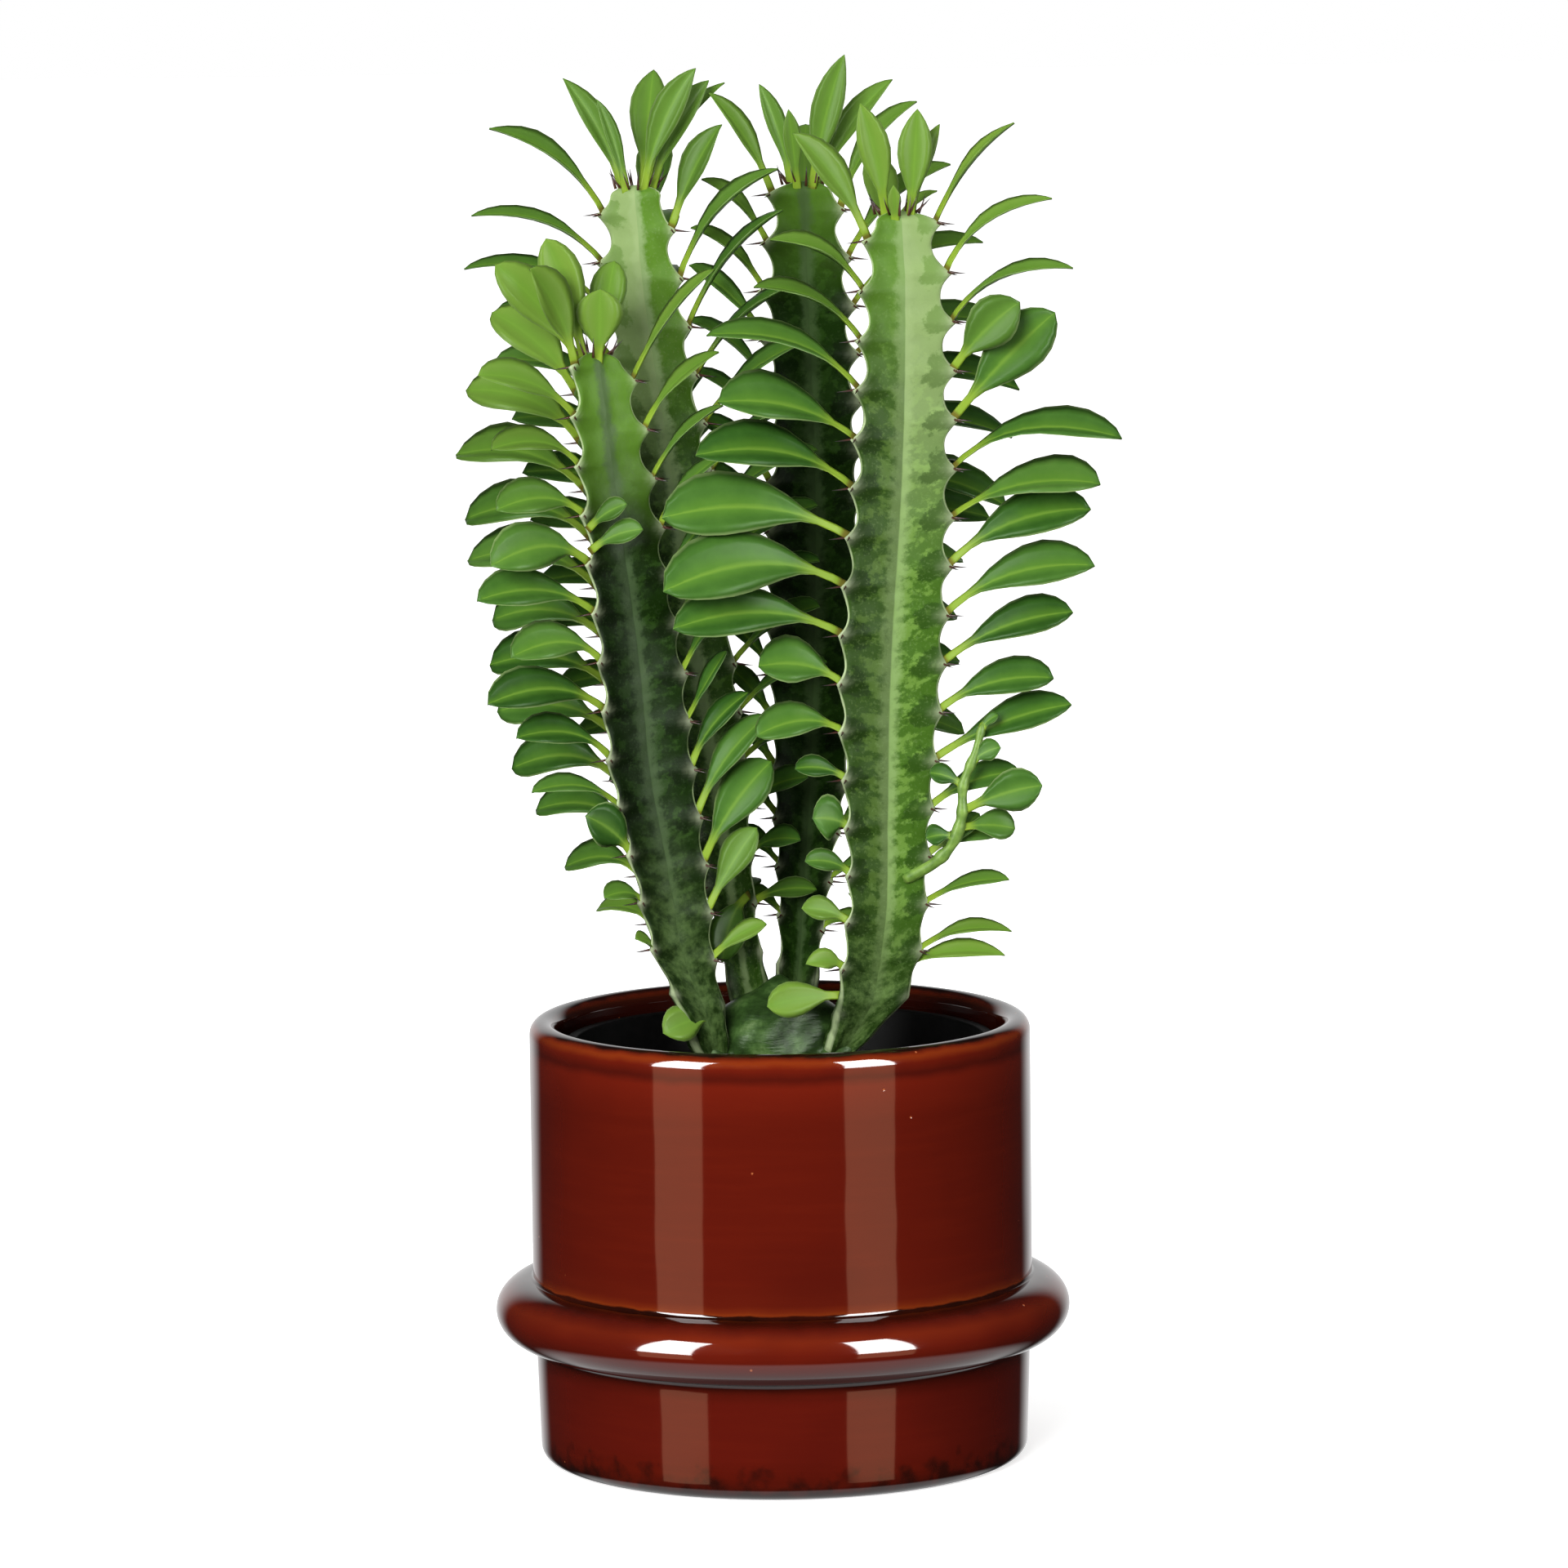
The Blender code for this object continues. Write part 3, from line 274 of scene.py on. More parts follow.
# Studio light: softboxes by bearing from the camera's side, and their brightness
BOX_LEFT = -47.0
BOX_RIGHT = 40.5
BOX_AWAY = 1500.0
BOX_WIDTH = 620.0
BOX_TOP = 1700.0
BOX_FOOT = 60.0
BOX_LOWEST = -420.0
GLINT_RADIANCE = 24.0
KEY_BEARING = -20.0
KEY_RADIANCE = 18.0
FILL_BEARING = 38.0
FILL_RADIANCE = 1.7
FOOT_RADIANCE = 1.7
FOOT_TINT = "FFBE96"
TOP_RADIANCE = 1.0
FLOOR_RADIANCE = 1.1
AMBIENT_ABOVE = 0.33
AMBIENT_BELOW = 0.12


# Curves and directions
def unit(vectors):
    """The vectors scaled to length 1."""
    return vectors / np.linalg.norm(vectors, axis=-1, keepdims=True)


def compass(degrees):
    """Level unit vectors with these bearings."""
    angle = np.radians(degrees)
    return np.stack([np.cos(angle), np.sin(angle), 0 * angle], axis=-1)


def ease(value, low, high):
    """Smooth step from 0 at low to 1 at high."""
    share = np.clip((np.asarray(value, float) - low) / (high - low), 0, 1)
    return share * share * (3 - 2 * share)


def wavy(points, size, seed, waves=14):
    """Smooth unevenness between about -1 and 1: a sum of sine waves in seeded directions."""
    rng = np.random.default_rng(seed)
    ways = rng.normal(size=(waves, 3))
    ways *= 2 * np.pi / size * rng.uniform(0.7, 1.6, (waves, 1)) / np.linalg.norm(
        ways, axis=1, keepdims=True)
    phase = rng.uniform(0, 2 * np.pi, waves)
    return np.sin(points @ ways.T + phase).sum(axis=-1) / math.sqrt(waves)


def smooth_path(points, share):
    """Points at these shares of the way along a Catmull-Rom curve through the given points."""
    pts = np.array(points, float)
    pts = np.concatenate([2 * pts[:1] - pts[1:2], pts, 2 * pts[-1:] - pts[-2:-1]])
    place = np.clip(share, 0, 1) * (len(points) - 1)
    i = np.minimum(place.astype(int), len(points) - 2)
    t = (place - i)[..., None]
    p0, p1, p2, p3 = (pts[i + k] for k in range(4))
    return 0.5 * (2 * p1 + (p2 - p0) * t + (2 * p0 - 5 * p1 + 4 * p2 - p3) * t * t
                  + (3 * p1 - p0 - 3 * p2 + p3) * t ** 3)


def stem_at(stem, z):
    """Centres and ridge radii of a stem at these heights."""
    levels = [point[2] for point in stem.axis]
    point = smooth_path(stem.axis, np.interp(z, levels, np.linspace(0, 1, len(levels))))
    point[..., 2] = z
    return point[..., :3], point[..., 3]


def ridge_bearing(stem, ridge):
    """Bearing of ridge 0 (left of the open face), 1 (right of it) or 2 (behind)."""
    return stem.facing + np.array((-60.0, 60.0, 180.0))[ridge]


def ridge_tops(stem):
    """Height of the highest tubercle of each ridge."""
    return stem.axis[-1][2] - CROWN - PITCH * np.array(stem.order) / 3


def tubercles(stem):
    """Each tubercle of a stem: its ridge, number from the top, height, bearing, and the stem's
    centre and radius there."""
    for ridge, top in enumerate(ridge_tops(stem)):
        for i, z in enumerate(np.arange(top, stem.joint + 6.0, -PITCH)):
            yield ridge, i, z, ridge_bearing(stem, ridge), *stem_at(stem, z)


def leaf_curve(root, heading, leafing, t):
    """A leaf's middle line at the shares t of the way, with its direction, upper side and edge side
    there: a quadratic curve that leaves at the rise angle and ends at the tip, with its blade
    turned to the light. Many leaves are worked out at once in the same way."""
    flat = compass(heading)
    rise, lean = np.radians(leafing.rise), np.radians(leafing.lean)
    chord = leafing.out * flat + leafing.up * UP
    bend = 0.5 * np.linalg.norm(chord, axis=-1, keepdims=True) * (np.cos(rise) * flat
                                                                  + np.sin(rise) * UP)
    tangent = unit(2 * (1 - 2 * t) * bend + 2 * t * chord)
    light = np.sin(lean) * compass(LIGHT_BEARING) + np.cos(lean) * UP
    upper = unit(light - (tangent * light).sum(axis=-1, keepdims=True) * tangent)
    return root + 2 * t * (1 - t) * bend + t * t * chord, tangent, upper, np.cross(upper, tangent)


# Plain solids, and where the plant's leaves and spines find room between them
def solid(rings, tip=None):
    """Vertices and faces of a solid round rings of points. Its foot is flat, its top is flat or
    runs to a tip, and its sides are split in three-sided faces, to either side in turn."""
    verts, columns = rings.reshape(-1, 3), rings.shape[1]
    last = len(verts) - columns
    faces = [tuple(range(columns))[::-1]]
    for a in range(last):
        b = a + 1 if (a + 1) % columns else a + 1 - columns
        c, d = a + columns, b + columns
        faces += [(a, b, c), (b, d, c)] if a % columns % 2 else [(a, b, d), (a, d, c)]
    if tip is None:
        return verts, faces + [tuple(range(last, last + columns))]
    return np.vstack([verts, tip]), faces + [(last + j, last + (j + 1) % columns, len(verts))
                                             for j in range(columns)]


def leaf_solid(root, heading, leafing, pad=0.0):
    """One leaf: edges, upper rib and lower rib at each station, then the tip. The stalk is a
    straight prism."""
    line, tangent, upper, side = leaf_curve(root, heading, leafing,
                                            np.array(STATIONS + (1.0,))[:, None])
    tip = line[-1] + pad * tangent[-1]
    upper[0], side[0] = upper[1], side[1]
    line, upper, side = line[:-1], upper[:-1], side[:-1]
    share = np.array(WIDTH_SHARE)[:, None]
    half = np.maximum(PETIOLE_HALF, share * leafing.width / 2) + pad
    rise = FOLD * half * (share > 0)
    above = 0.1 + 0.5 * (share == 0) + pad
    below = above - BLADE_THICK - 2 * pad
    return solid(np.stack([line + half * side + rise * upper, line + above * upper,
                           line - half * side + rise * upper, line + below * upper], axis=1), tip)


def spine_solid(root, heading):
    """A three-sided thorn from a point sunk in its tubercle."""
    fall = math.radians(SPINE_FALL)
    along = math.cos(fall) * compass(heading) + math.sin(fall) * UP
    side = compass(heading + 90)
    turn = np.radians((90, 210, 330))[:, None]
    ring = np.cos(turn) * side + np.sin(turn) * np.cross(along, side)
    return solid((root - SPINE_INSET * along + SPINE_HALF * ring)[None],
                 root + SPINE_LENGTH * along)


def stem_solid(stem, levels, peaks, tip=None):
    """Level six-sided sections of a stem. A peak is the ridge that has a tubercle at a level, or
    -1, and the other ridges are bitten in there."""
    centre, radius = stem_at(stem, np.array(levels))
    ridge = np.arange(3)
    reach = radius[:, None] * np.where(np.array(peaks)[:, None] == ridge, 1.0, 1.0 - SCALLOP)
    bearing = ridge_bearing(stem, ridge)
    rings = np.stack([reach[..., None] * compass(bearing),
                      (radius * VALLEY)[:, None, None] * compass(bearing + 60)], axis=2)
    return solid(centre[:, None] + rings.reshape(-1, 6, 3), tip)


def shoot_rings(share, sides, thick):
    """Rings of points round the side shoot's path, at these shares of the way."""
    path = smooth_path(SHOOT_PATH, share)
    along = unit(np.gradient(path, axis=0))
    side = unit(np.cross(along, compass(LIGHT_BEARING)))
    angle = np.linspace(0, 2 * np.pi, sides, endpoint=False)[None, :, None]
    return path[:, None] + thick * (np.cos(angle) * side[:, None]
                                    - np.sin(angle) * np.cross(side, along)[:, None])


def extent(mesh):
    """Lowest and highest corner of a solid, and the tree that finds what it meets."""
    verts, faces = mesh
    return verts.min(axis=0), verts.max(axis=0), BVHTree.FromPolygons(verts.tolist(), faces)


class Crowd:
    """Solids already placed, which the next one must not touch."""

    def __init__(self):
        self.members = []

    def add(self, mesh, owner):
        """Place a solid that belongs to an owner."""
        self.members.append((owner, *extent(mesh)))

    def touches(self, mesh, owner):
        """Whether the solid meets a member that another body owns, or another leaf of its own."""
        low, high, tree = extent(mesh)
        return any(other != owner and (low <= other_high).all() and (high >= other_low).all()
                   and tree.overlap(other_tree)
                   for other, other_low, other_high, other_tree in self.members)


def fill_crowd():
    """A crowd of the fixed bodies: soil, grow pot lip and planter mouth as one turned surface, the
    stems above their joints, the trunk's collars below them, and the side shoot."""
    crowd = Crowd()
    points, faces, _ = turned(((0.5, SOIL_TOP + 3), (GROW_TOP_RADIUS - 2, SOIL_TOP + 3),
                               (GROW_TOP_RADIUS - 2, GROW_TOP + 1),
                               (POT_MOUTH_RADIUS - 1, GROW_TOP + 1),
                               (POT_MOUTH_RADIUS - 1, POT_HEIGHT + 1),
                               (POT_RADIUS + 1, POT_HEIGHT + 1), (POT_RADIUS + 1, 60)), 48)
    crowd.add((points.reshape(-1, 3), faces.tolist()), "pot")
    for stem in STEMS:
        foot, high = stem.axis[0][2], stem.axis[-1][2]
        levels = [stem.joint, *np.arange(high - CROWN, stem.joint + 4.0, -PITCH / 3)[::-1]]
        peaks = [-1] + [stem.order.index(k % 3) for k in reversed(range(len(levels) - 1))]
        tip = stem_at(stem, high)[0] + 1.5 * UP
        crowd.add(stem_solid(stem, levels, peaks, tip), (stem.name, "body"))
        collar = np.linspace(foot, stem.joint - GAP, 7)
        crowd.add(stem_solid(stem, collar, [-1] * 7), (stem.name, "body"))
    rings = shoot_rings(np.linspace(0, 1, 8), 5, SHOOT_RADIUS)
    crowd.add(solid(rings[:-1], smooth_path(SHOOT_PATH, 1.0)), (FRONT_RIGHT.name, "body"))
    return crowd


def plant_layout():
    """Where the leaves and spines of the trunk and every stem grow: the part's rule, with a spine
    pair on each tubercle. A leaf is (root, heading, leafing), a spine (root, heading)."""
    crowd = fill_crowd()
    leaves = {name: [] for name in ["trunk"] + [stem.name for stem in STEMS]}
    spines = {stem.name: [] for stem in STEMS}

    def grow(stem, root, bearing, leafing, home=None):
        """Note a leaf in the first of the tries that keeps it clear, or leave it out."""
        for turn, lift, share in TRIES:
            trial = leafing._replace(out=leafing.out * share, up=leafing.up * share + lift,
                                     width=leafing.width * max(share, 0.7),
                                     swing=leafing.swing + turn)
            heading = bearing + trial.swing
            if not crowd.touches(leaf_solid(root, heading, trial, CLEARANCE), (stem.name, "body")):
                leaves[home or stem.name].append((root, heading, trial))
                crowd.add(leaf_solid(root, heading, trial), (stem.name, "leaf"))
                return

    for stem in STEMS:
        for _, i, _, bearing, centre, radius in tubercles(stem):
            for hand in (-1, 1):
                root = (centre + (radius - SPINE_INSET) * compass(bearing)
                        + hand * SPINE_APART * compass(bearing + 90))
                heading = bearing + hand * SPINE_SPREAD
                spine = spine_solid(root, heading)
                if not crowd.touches(spine, (stem.name, "body")):
                    spines[stem.name].append((root, heading))
                    if i % SPINE_EVERY == 0:
                        crowd.add(spine, (stem.name, "body"))
    for share, bearing, *leafing in SHOOT_LEAVES:
        grow(FRONT_RIGHT, smooth_path(SHOOT_PATH, share), bearing, Leafing(*leafing))
    for stem in STEMS:
        for x, y, z, bearing, *leafing in stem.singles:
            grow(stem, np.array((x, y, z), float), bearing, Leafing(*leafing),
                 None if z > stem.joint else "trunk")
    for number, stem in enumerate(STEMS):
        rng = np.random.default_rng(SEED + number)
        for ridge, _, z, bearing, centre, radius in tubercles(stem):
            levels, *columns = zip(*stem.ridges[ridge])
            values = np.array([np.interp(z, levels, column) for column in columns])
            vary = rng.uniform(-1, 1, 6)
            grow(stem, centre + (radius - LEAF_SINK) * compass(bearing)
                 + LEAF_ASIDE * compass(bearing + 90), bearing,
                 Leafing(*(values * (1 + VARY_SHARE * vary) + VARY_BY * vary)))
        centre, radius = stem_at(stem, stem.axis[-1][2])
        for bearing, *leafing in stem.tuft:
            grow(stem, centre + TUFT_REACH * radius * compass(bearing) - LEAF_SINK * UP, bearing,
                 Leafing(*leafing))
    return leaves, spines


# Meshes
def placed(name, data):
    """New object of the scene, with this mesh, light or camera."""
    thing = bpy.data.objects.new(name, data)
    bpy.context.scene.collection.objects.link(thing)
    return thing


def surface(name, points, faces, caps=()):
    """New piece from points in millimetres, an array of four-sided faces, and closing faces."""
    mesh = bpy.data.meshes.new(name)
    points = np.asarray(points, float).reshape(-1, 3) * MM
    mesh.from_pydata(points, [], np.asarray(faces).tolist() + [c.tolist() for c in caps])
    mesh.shade_smooth()
    piece = placed(name, mesh)
    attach(piece, "root")
    return piece


def grid_faces(rows, columns):
    """Faces of a grid of rows x columns points that closes round the columns."""
    i, j = np.meshgrid(np.arange(rows - 1), np.arange(columns), indexing="ij")
    ahead = (j + 1) % columns
    return np.stack([i * columns + j, i * columns + ahead, (i + 1) * columns + ahead,
                     (i + 1) * columns + j], axis=-1).reshape(-1, 4)


def tube_faces(rows, columns, start=0):
    """Faces round a tube of rows x columns points, and the two faces that close its ends."""
    ring = start + np.arange(columns)
    return start + grid_faces(rows, columns), [ring[::-1], ring + (rows - 1) * columns]


def turned(profile, columns=TURN_COLUMNS):
    """Points and faces of a profile of (radius, height) turned round Z: radius along each bearing.
    The profile runs with its outer side downwards, so the faces look away from the material."""
    profile = np.array(profile, float)
    angle = np.linspace(0, 2 * np.pi, columns, endpoint=False)
    r, z = profile[:, :1], profile[:, 1:]
    points = np.stack([r * np.cos(angle), r * np.sin(angle), z + 0 * angle], axis=-1)
    faces, caps = tube_faces(len(profile), columns)
    return points, faces[:, ::-1], [cap[::-1] for cap in caps]


def arc(centre_radius, centre_height, radius, start, stop, count, high=None):
    """Points of a round arc in a profile, by angle from the outward direction. A flat one has its
    own half height."""
    turn = np.radians(np.linspace(start, stop, count))
    return list(zip(centre_radius + radius * np.cos(turn),
                    centre_height + (high or radius) * np.sin(turn)))


def swarm(name, points, first, last):
    """One piece of many closed tubes, from points by tube, row and column. First and last are the
    faces that close a tube at its first and its last row."""
    count, rows, columns = points.shape[:3]
    one = np.concatenate([grid_faces(rows, columns), first, np.array(last) + (rows - 1) * columns])
    return surface(name, points, (one + rows * columns * np.arange(count)[:, None, None]
                                  ).reshape(-1, 4))


def store(piece, **values):
    """Keep numbers for each point of a piece, under their names, for its material to read."""
    for name, each in values.items():
        layer = piece.data.attributes.new(name, "FLOAT", "POINT")
        layer.data.foreach_set("value", np.asarray(each, np.float32).ravel())


def settle(piece):
    """Put a piece's modifiers into its mesh."""
    depsgraph = bpy.context.evaluated_depsgraph_get()
    mesh = bpy.data.meshes.new_from_object(piece.evaluated_get(depsgraph))
    piece.modifiers.clear()
    piece.data = mesh


def dress(piece, material, slot, *nodes):
    """Give a piece its material and hide the CAD nodes that it stands for. The slot is not used."""
    piece.data.materials.append(material)
    if nodes:
        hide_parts(*nodes)


# Materials
def linear(colour):
    """Linear RGBA of an sRGB hex colour."""
    channels = [int(colour[i:i + 2], 16) / 255 for i in (0, 2, 4)]
    return (*(c / 12.92 if c <= 0.04045 else ((c + 0.055) / 1.055) ** 2.4 for c in channels), 1.0)


def per_mm(size):
    """Pattern scale on Object coordinates, which are in metres, for a feature of this size."""
    return 1 / (size * MM)


def feed(node, links):
    """Give a node's inputs their values, or the node or output that feeds them. Links are by the
    inputs' names or numbers, or in their order, with None for one that stays as it is."""
    for slot, value in links.items() if isinstance(links, dict) else enumerate(links):
        if isinstance(value, bpy.types.Node):
            value = next(output for output in value.outputs if output.enabled)
        if isinstance(value, bpy.types.NodeSocket):
            node.id_data.links.new(value, node.inputs[slot])
        elif value is not None:
            node.inputs[slot].default_value = linear(value) if isinstance(value, str) else value


MODES = {"Math": "operation", "VectorMath": "operation", "MapRange": "interpolation_type",
         "Mix": "data_type", "Attribute": "attribute_name"}


def add_node(tree, kind, links=(), stops=()):
    """Add a node of a kind, with its mode after a colon, and its links. Stops are the (place, sRGB
    hex colour) pairs of a ramp."""
    kind, _, mode = kind.partition(":")
    node = tree.nodes.new("ShaderNode" + kind)
    if mode:
        setattr(node, MODES[kind], mode)
    feed(node, links)
    for i, (place, colour) in enumerate(stops):
        ramp = node.color_ramp.elements
        element = ramp[i] if i < 2 else ramp.new(1.0)
        element.position = place
        element.color = linear(colour)
    return node


def coat(name, **uniform):
    """Turn a recipe into a function that makes its material. The recipe is handed what adds a node
    to the tree, and the Object coordinates, and it returns what feeds the shader. Uniform values
    are set on the shader itself. An owner's name may stand before the material's."""
    def fill(recipe):
        def make(*values, owner=""):
            material = bpy.data.materials.new(owner + name)
            material.use_nodes = True
            tree = material.node_tree
            shader = tree.nodes["Principled BSDF"]
            add = partial(add_node, tree)
            feed(shader, {slot.replace("_", " "): value for slot, value in uniform.items()})
            feed(shader, recipe(add, add("TexCoord").outputs["Object"], *values))
            return material
        return make
    return fill


# Glaze colour at each height, in millimetres, where it runs thin to rust or pools dark; painted
# shade deepens the groove above the ring and darkens the band under the ring, and a painted dark
# reflection lies on the lip's top
GLAZE_AND_PAINTED_SHADE_BY_HEIGHT = ((0.0, "2E0D07"), (2.5, "420E06"), (7.0, "571207"), (13.0, "5E140A"),
                   (29.0, "5E140A"), (32.5, "501208"), (34.5, "280B06"), (37.0, "380F08"),
                   (41.0, "581409"), (46.0, "64180B"), (50.0, "70220E"), (52.5, "54140A"),
                   (54.3, "1A0703"), (55.4, "240904"), (55.9, "7E300E"), (56.8, "6E230C"),
                   (58.5, "60180A"), (66.0, "5E1509"), (112.0, "5E1509"), (123.0, "6E1B0C"),
                   (125.5, "4C1109"), (128.6, "6A1A0B"), (130.3, "82310F"), (131.2, "74240D"),
                   (131.9, "1E0A06"), (132.5, "120504"))


@coat("oxblood_glaze", Roughness=0.06, IOR=1.52)
def glaze(add, place):
    """Oxblood glaze, poured over stoneware and fired: it breaks to rust where it runs thin over
    edges, pools dark in grooves and round the foot, and has a wet gloss with a few pinholes.
    Painted shade deepens the groove and darkens the band under the ring and the inside of the
    mouth, and the lip's top holds a painted dark reflection."""
    drift, cloud, blot, roll = (add("TexNoise", (place, None, per_mm(size), detail))
                                for size, detail in ((9, 3.0), (42, 2.0), (6, 3.0), (26, 1.0)))
    height = add("SeparateXYZ", (place,)).outputs["Z"]
    uneven = add("Math:ADD", (drift, -0.5))
    level = add("Math:MULTIPLY_ADD", (uneven, 1.6 * MM, height))
    share = add("MapRange", (level, 0.0, POT_HEIGHT * MM))
    colour = add("ValToRGB", (share,), [(mm / POT_HEIGHT, hue) for mm, hue in GLAZE_AND_PAINTED_SHADE_BY_HEIGHT])
    # Faint level lines left by the throwing, a few millimetres apart
    squeezed = add("Mapping", {"Vector": place, "Scale": (1.0, 1.0, 12.0)})
    lines = add("TexNoise", (squeezed, None, per_mm(34), 3.0))
    lit = add("MapRange:SMOOTHSTEP", (lines, 0.42, 0.78, 0.0, 0.10))
    # Clouds of thicker and darker glaze, and brown-black mottling that creeps up from the foot
    dark = add("MapRange:SMOOTHSTEP", (cloud, 0.48, 0.72, 0.0, 0.35))
    low = add("MapRange", (height, 0.0, 14 * MM, 0.56, 0.0))
    burnt = add("MapRange:SMOOTHSTEP", (add("Math:ADD", (blot, low)), 0.72, 1.05, 0.0, 0.8))
    # Painted shade: the inside of the mouth is darkened nearly black
    flat = add("Mapping", {"Vector": place, "Scale": (1.0, 1.0, 0.0)})
    reach = add("VectorMath:LENGTH", (flat,)).outputs["Value"]
    painted_inner_shade = add("MapRange", (reach, 67.0 * MM, 69.0 * MM, 0.9, 0.0))
    # Pinholes: a few cells of a coarse pattern have a dot at their middle
    cell = add("TexVoronoi", {"Vector": place, "Scale": per_mm(8)})
    near = add("MapRange", (cell.outputs["Distance"], 0.035, 0.06, 1.0, 0.0))
    pick = add("SeparateColor", (cell.outputs["Color"],))
    pinhole = add("Math:MULTIPLY", (near, add("Math:GREATER_THAN", (pick, 0.72))))
    for share, hue in ((lit, "7E240E"), (dark, "4A0F08"), (burnt, "1E0A06"), (painted_inner_shade, "1C0704"),
                       (pinhole, "B5623A")):
        colour = add("Mix:RGBA", {0: share, 6: colour, 7: hue})
    # The skin of the glaze rolls slightly, and dips at a pinhole
    dip = add("Math:MULTIPLY_ADD", (pinhole, -0.25, roll))
    bump = add("Bump", {"Height": dip, "Strength": 0.35, "Distance": 0.5 * MM})
    return {"Base Color": colour, "Normal": bump}


@coat("black_polypropylene", IOR=1.2)
def black_plastic(add, place):
    """Vacuum-formed black polypropylene: satin, with fine scuffs that dull it unevenly."""
    scuff = add("TexNoise", (place, None, per_mm(3), 5.0))
    return {"Base Color": add("ValToRGB", (scuff,), ((0.35, "050505"), (0.75, "0C0B0B"))),
            "Roughness": add("MapRange", (scuff, 0.0, 1.0, 0.45, 0.70)),
            "Normal": add("Bump", {"Height": scuff, "Strength": 0.2, "Distance": 0.3 * MM})}


@coat("damp_peat", Roughness=0.93, IOR=1.4)
def peat(add, place):
    """Damp peat pressed into the pot: nearly black fibre and crumbs with a few tan flecks."""
    fibre = add("TexNoise", (place, None, per_mm(1.6), 8.0, 0.7))
    crumb = add("TexVoronoi", {"Vector": place, "Scale": per_mm(2.4)}).outputs["Distance"]
    height = add("Math:ADD", (fibre, crumb))
    return {"Base Color": add("ValToRGB", (fibre,), ((0.30, "0D0907"), (0.52, "1E1510"),
                                                     (0.66, "33241A"), (0.80, "6B5236"))),
            "Normal": add("Bump", {"Height": height, "Strength": 0.9, "Distance": 1.2 * MM})}


@coat("old_succulent_skin", Roughness=0.38, IOR=1.22)
def old_skin(add, place):
    """Old corky skin of the trunk: dull blue-green with grey bloom, pale scars and fine level
    wrinkles, waxy enough to shine softly on the lumps."""
    bloom = add("TexNoise", (place, None, per_mm(7), 6.0, 0.6))
    low = add("Mapping", {"Vector": place, "Scale": (0.35, 0.35, 1.4)})
    wrinkle = add("TexNoise", (low, None, per_mm(1.5), 4.0))
    return {"Base Color": add("ValToRGB", (bloom,), ((0.32, "1C2E12"), (0.50, "304A20"),
                                                     (0.62, "486632"), (0.74, "6B8452"))),
            "Normal": add("Bump", {"Height": wrinkle, "Strength": 0.5, "Distance": 0.7 * MM})}


# Each stem's greens: the blotches by the ridges, the faces, the bands and the valley, its milky
# middle, the half of a face that turns milky near the top, partly real bloom and partly painted
# sheen (1 left, 0 right, -1 neither), the share of its height from which it is young and plain, how
# much painted shade darkens the left half of a face, and the share of its height below which it is
# dull and grey
Greens = namedtuple("Greens", "deep mid pale milk veil young shade old")
STEM_GREENS = {
    "stem_front_right": Greens("26430F", "43681E", "6E943E", "8AA866", 0, 0.74, 0.50, 0.24),
    # The front left stem is much darker: painted shade from the front right stem and its leaves
    "stem_front_left": Greens("0B1904", "162B08", "2B4618", "4A603C", -1, 0.70, 0.45, 0.40),
    "stem_back_left": Greens("1C3408", "304F14", "4A6C28", "93AC74", 1, 0.66, 0.0, 0.10),
    "stem_back_right": Greens("0C1A05", "183008", "284414", "445A34", -1, 0.84, 0.2, 0.10),
}


